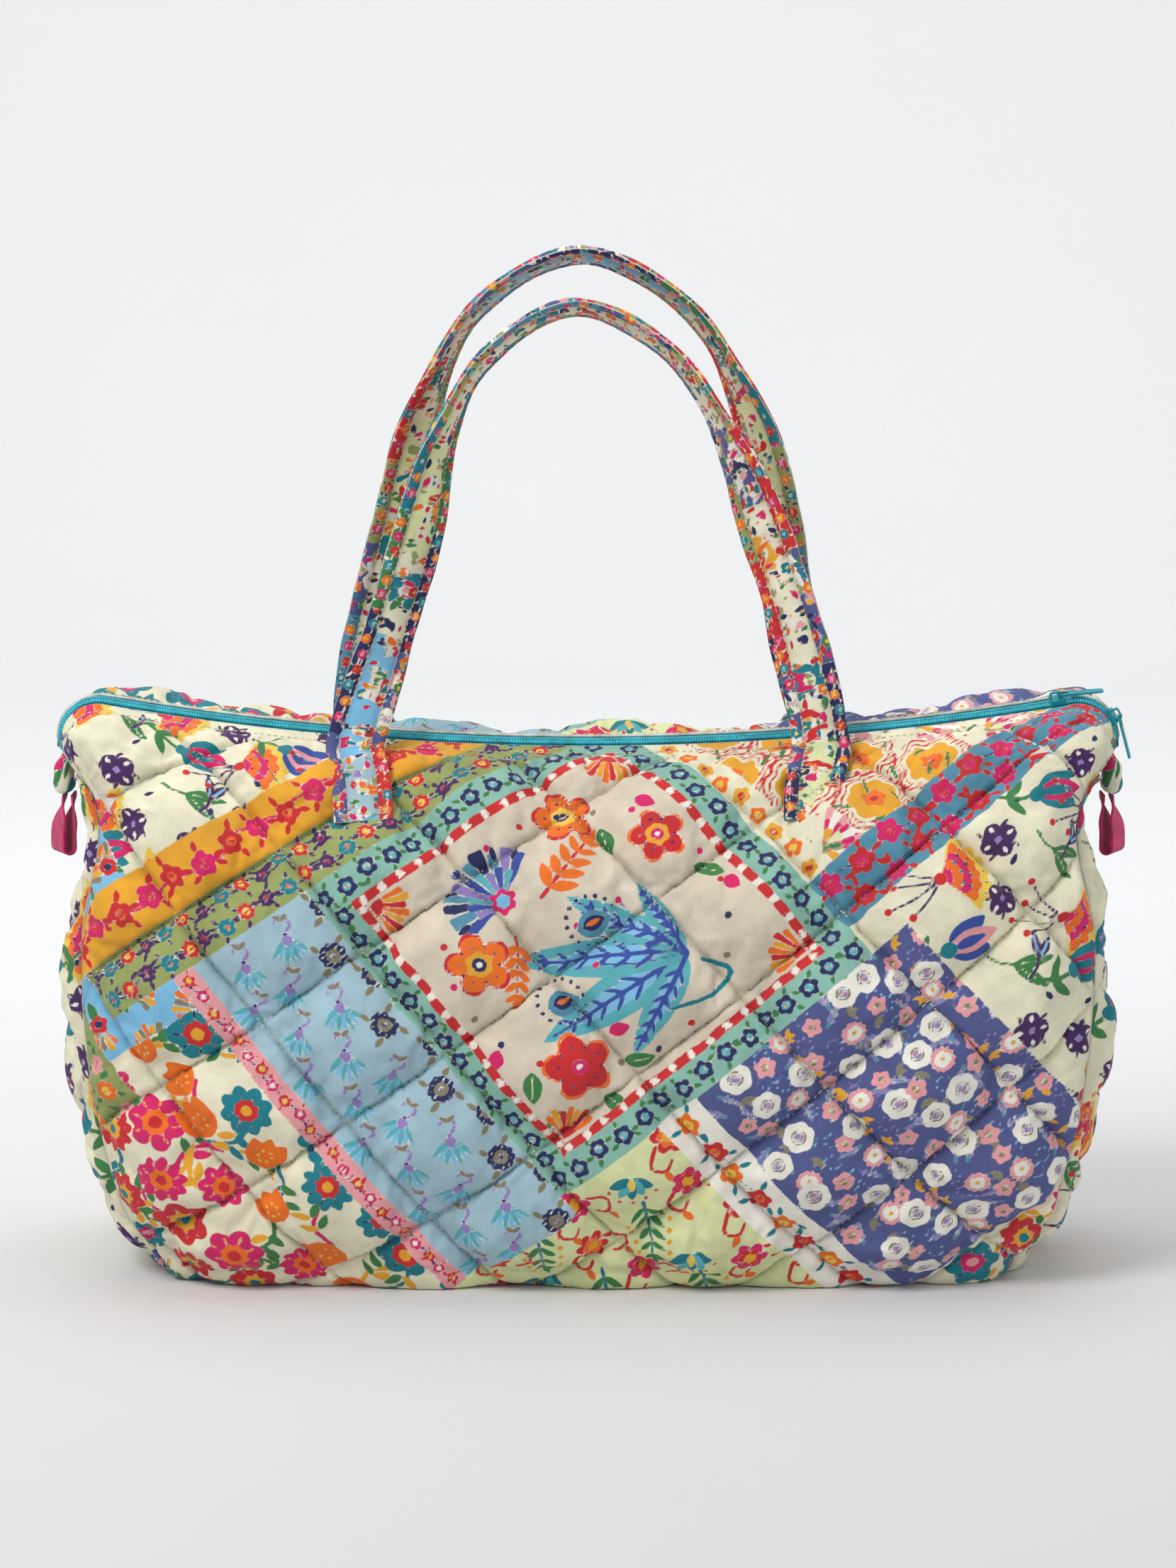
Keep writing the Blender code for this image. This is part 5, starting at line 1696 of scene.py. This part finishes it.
def build_strap(side):
    name = BAG_NAMES[side]
    line, tangent, across, length, (first, last), foot_z = strap_line(side)
    out = np.cross(tangent, across)
    t = np.linspace(0, 1, STRAP_RINGS)
    along = t * length
    end_gap = np.minimum(t, 1 - t) * length
    angle = np.linspace(0, 2 * math.pi, STRAP_ROUND, endpoint=False)
    c, s = np.cos(angle), np.sin(angle)
    u = np.sign(c) * np.abs(c) ** 0.55
    lip = np.sign(s) * np.abs(s) ** 0.75
    rings, places, groove_shades = [], [], []
    for k in range(STRAP_RINGS):
        width = STRAP_WIDTH / 2 * (1 + 0.015 * math.sin(along[k] / 0.011) + 0.01 * math.sin(along[k] / 0.0047))
        x = u * width
        channel = np.minimum(np.abs(np.abs(x) - ROW_X), ROW_X) / ROW_VALLEY
        pucker = (0.00035 * np.sin(along[k] / 0.00125 + 2.0 * np.sin(along[k] / 0.013) + 1.2 * np.sign(x))
                  * np.exp(-(channel * ROW_VALLEY / 0.0035)))
        sewn = 1 - smoothstep(SEWN_FLAT, SEWN_FULL, end_gap[k])
        half = STRAP_HALF_THICK * (0.52 + 0.48 * smoothstep(0.0, 1.0, channel)) + pucker
        half = half * (1 - 0.30 * sewn)  # flatter where it is sewn down
        half *= smoothstep(-0.004, 0.0035, end_gap[k]) ** 0.5
        half += 0.0003 * math.sin(along[k] / 0.0069 + side)
        ring = line[k] + x[:, None] * across[k] + (lip * half)[:, None] * out[k]
        rings.append(ring)
        places.append(np.stack([np.full(STRAP_ROUND, along[k]), x + np.where(s < 0, 0.033, 0)], -1))
        # Painted shade along the strap's two rows of stitches.
        groove_shades.append(np.exp(-channel * 1.6) * 0.8)
    made = sweep(f"strap_{name}_padded", rings, [STRAP_PRINTED])
    places = np.concatenate(places)
    print_onto(made, places * STRAP_PRINT, lambda cloth, rng: strap_print(cloth, length, rng),
               np.random.default_rng(20 + side), np.concatenate(groove_shades), places)
    runs = strap_stitches(line, tangent, across, out, length)
    stitches = stitch_mesh(f"strap_{name}_stitching", runs, THREAD, 0.00036)
    nodes = [f"strap_{name}", f"strap_{name}_end_left", f"strap_{name}_end_right"]
    for piece in (made, stitches):
        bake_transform(piece)
    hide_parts(*nodes)


STRAP_PRINT = 1.3  # the straps' print is this much finer than the panels'


def strap_print(cloth, length, rng):
    """The strap is folded from the patchwork, so its print changes along it and from channel to channel."""
    turn_to = {"folk": patch_folk, "tulips": patch_tulips, "periwinkle": patch_periwinkle,
               "scallops": patch_scallops, "meadow": patch_meadow, "birds": patch_birds, "sky": patch_sky}
    middles = ["scallops", "folk", "meadow", "folk", "birds", "sky", "folk", "meadow", "tulips", "folk", "scallops",
               "periwinkle"]
    edges = ["periwinkle", "olive", "red", "periwinkle", "navy", "leaf", "teal", "olive", "steel"]
    channels = ((-0.0085, 0.0085, middles, 0.085), (0.0085, 0.0245, edges, 0.070), (-0.02, -0.0085, edges, 0.062),
                (0.0245, 0.0415, middles, 0.075), (0.0415, 0.06, edges, 0.066))
    for x0, x1, looks, size in channels:
        x0, x1 = x0 * STRAP_PRINT, x1 * STRAP_PRINT
        at = -0.02
        k = int(rng.integers(0, len(looks)))
        while at < length * STRAP_PRINT + 0.02:
            piece = size * (0.8 + 0.6 * rng.random())
            rect = (at, at + piece, x0, x1)
            look = looks[k % len(looks)]
            if look in turn_to:
                turn_to[look](cloth, rect, rng)
                for j, (a, b, turn) in enumerate(places_in(cloth, rect, 0.0094, rng, 0.35)):
                    ink = ("leaf", "red", "teal", "orange", "olive", "magenta", "navy")[(j + k) % 7]
                    if j % 4 == 0:
                        petals(cloth, ink, a, b, 0.0046, 5, 0.34, turn)
                        disc(cloth, "yellow", a, b, 0.0014)
                    else:
                        leaf(cloth, ink, a, b, 0.0092, 0.0038, turn)
            else:
                flowers = [("red", "ochre"), ("magenta", "pink"), ("orange", "yellow"), ("teal", "aqua")]
                extra = "cream" if look in ("navy", "red", "leaf") else "purple"
                band(cloth, rect, look, flowers, rng, 0.0042, 0, extra)
            at += piece
            k += 1


def strap_stitches(line, tangent, across, out, length):
    """Two long rows of stitches on each face, and a boxed cross at each sewn end."""
    runs = []
    pitch = length / (STRAP_RINGS - 1)

    def at(distance, x, face):
        k = np.clip(distance / pitch, 0, STRAP_RINGS - 1.001)
        i = int(k)
        f = k - i
        centre = line[i] * (1 - f) + line[i + 1] * f
        side_way, up = across[i], out[i] * face
        edge = min(distance, length - distance)
        sewn = 1 - float(smoothstep(SEWN_FLAT, SEWN_FULL, edge))
        groove = float(smoothstep(0, 1, min(abs(abs(x) - ROW_X), ROW_X) / ROW_VALLEY))
        half = STRAP_HALF_THICK * (0.52 + 0.48 * groove) * (1 - 0.30 * sewn)
        round_off = max(0.0, 1 - (abs(x) / (STRAP_WIDTH / 2)) ** 3.2) ** 0.5
        return centre + x * side_way + up * half * round_off, up

    for face in (-1, 1):
        for x in (-ROW_X, ROW_X):
            d = 0.036
            while d < length - 0.038:
                (a, up), (b, _) = at(d, x, face), at(d + 0.0024, x, face)
                runs.append((a, b, up))
                d += 0.0034
    for face in (-1, 1):
        for end in (0, 1):
            low, high, wide = 0.004, 0.031, 0.0130
            corners = [(low, -wide), (high, -wide), (high, wide), (low, wide)]
            lines = list(zip(corners, corners[1:] + corners[:1]))
            lines += [(corners[0], corners[2]), (corners[1], corners[3])]
            for (d0, x0), (d1, x1) in lines:
                count = int(math.hypot(d1 - d0, x1 - x0) / 0.0030)
                for k in range(count):
                    ends = []
                    for t in (k / count, (k + 0.75) / count):
                        d, x = d0 + (d1 - d0) * t, x0 + (x1 - x0) * t
                        ends.append(at(length - d if end else d, x, face))
                    runs.append((ends[0][0], ends[1][0], ends[0][1]))
    return runs


# ---------------------------------------------------------------- camera, floor and light

def build_stage():
    floor_mat, tree, shader = new_material("studio_paper", 0.9)
    coords = object_places(tree)
    mottled = noise(tree, coords, 3, 2).outputs["Fac"]
    depth = split_vector(tree, coords)["Y"]
    behind = ramp_range(tree, depth, -1.2, 1.6)
    in_front = ramp_range(tree, math_node(tree, "MULTIPLY", depth, -1.0), 1.4, 3.4)
    far = math_node(tree, "MAXIMUM", behind, in_front)
    # Painted light and shade: the paper runs from dark just in front of the bag to light far behind it and far in
    # front of it, setting how bright each part looks.
    shaded_near_paper = colour_mix(tree, mottled, (0.56, 0.56, 0.565), (0.58, 0.58, 0.585))
    lit_far_paper = colour_mix(tree, mottled, (0.90, 0.90, 0.895), (0.92, 0.92, 0.915))
    tree.links.new(colour_mix(tree, far, shaded_near_paper, lit_far_paper), shader.inputs["Base Color"])
    profile = [(-5.0, 0.0), (2.7, 0.0)]
    profile += [(2.7 + 0.8 * math.sin(a), 0.8 - 0.8 * math.cos(a)) for a in np.linspace(0, math.pi / 2, 13)[1:]]
    profile += [(3.5, 4.0)]
    grid = np.array([[(x, y, z) for x in (-6, 6)] for y, z in profile], float)
    floor = new_object("studio_sweep", grid.reshape(-1, 3), quads(0, len(profile), 2), [floor_mat])


def area_light(name, place, aim, size, power, colour=(1, 1, 1)):
    data = bpy.data.lights.new(name, "AREA")
    data.shape, data.size, data.size_y, data.energy, data.color = "RECTANGLE", size[0], size[1], power, colour
    made = bpy.data.objects.new(name, data)
    bpy.context.scene.collection.objects.link(made)
    made.location = place
    made.rotation_euler = (Vector(aim) - Vector(place)).to_track_quat("-Z", "Y").to_euler()


def build_light():
    bpy.context.scene.view_settings.view_transform = "Standard"
    world = bpy.data.worlds.new("studio")
    bpy.context.scene.world = world
    world.use_nodes = True
    world.node_tree.nodes["Background"].inputs["Color"].default_value = (0.94, 0.96, 1.0, 1)
    world.node_tree.nodes["Background"].inputs["Strength"].default_value = 0.52
    area_light("key", (-1.2, -1.3, 2.1), (0, 0, 0.2), (1.0, 1.0), 37, (1.0, 0.985, 0.96))
    area_light("fill", (1.9, -1.5, 0.9), (0, 0, 0.2), (1.4, 1.4), 7, (0.96, 0.98, 1.0))
    area_light("top", (0, 0.5, 2.4), (0, 0, 0.2), (2.2, 1.6), 18)
    area_light("backdrop", (0, 1.9, 2.7), (0, 3.5, 0.8), (6.0, 0.8), 27)


CAMERA_DISTANCE = 2.5
CAMERA_HEIGHT_ANGLE = math.radians(8)
VIEW_HEIGHT = 0.875  # what the frame takes in at the bag, top to bottom
VIEW_CENTRE = (0.0, 0.0, 0.268)


def build_camera():
    data = bpy.data.cameras.new("camera")
    data.sensor_fit = "VERTICAL"
    data.angle = 2 * math.atan(VIEW_HEIGHT / 2 / CAMERA_DISTANCE)
    data.clip_end = 50
    camera = bpy.data.objects.new("camera", data)
    bpy.context.scene.collection.objects.link(camera)
    centre = Vector(VIEW_CENTRE)
    camera.location = centre + CAMERA_DISTANCE * Vector((0, -math.cos(CAMERA_HEIGHT_ANGLE),
                                                        math.sin(CAMERA_HEIGHT_ANGLE)))
    camera.rotation_euler = (centre - camera.location).to_track_quat("-Z", "Y").to_euler()
    bpy.context.scene.camera = camera


build_camera()
build_panels()
build_base()
build_lining()
build_tabs()
build_end_loops()
build_zip()
build_strap(-1)
build_strap(1)
for kept in ("zip_slider_left", "zip_slider_right", "zip_pull_left", "zip_pull_right"):
    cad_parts[kept].material_slots[0].material = ENAMEL
build_stage()
build_light()
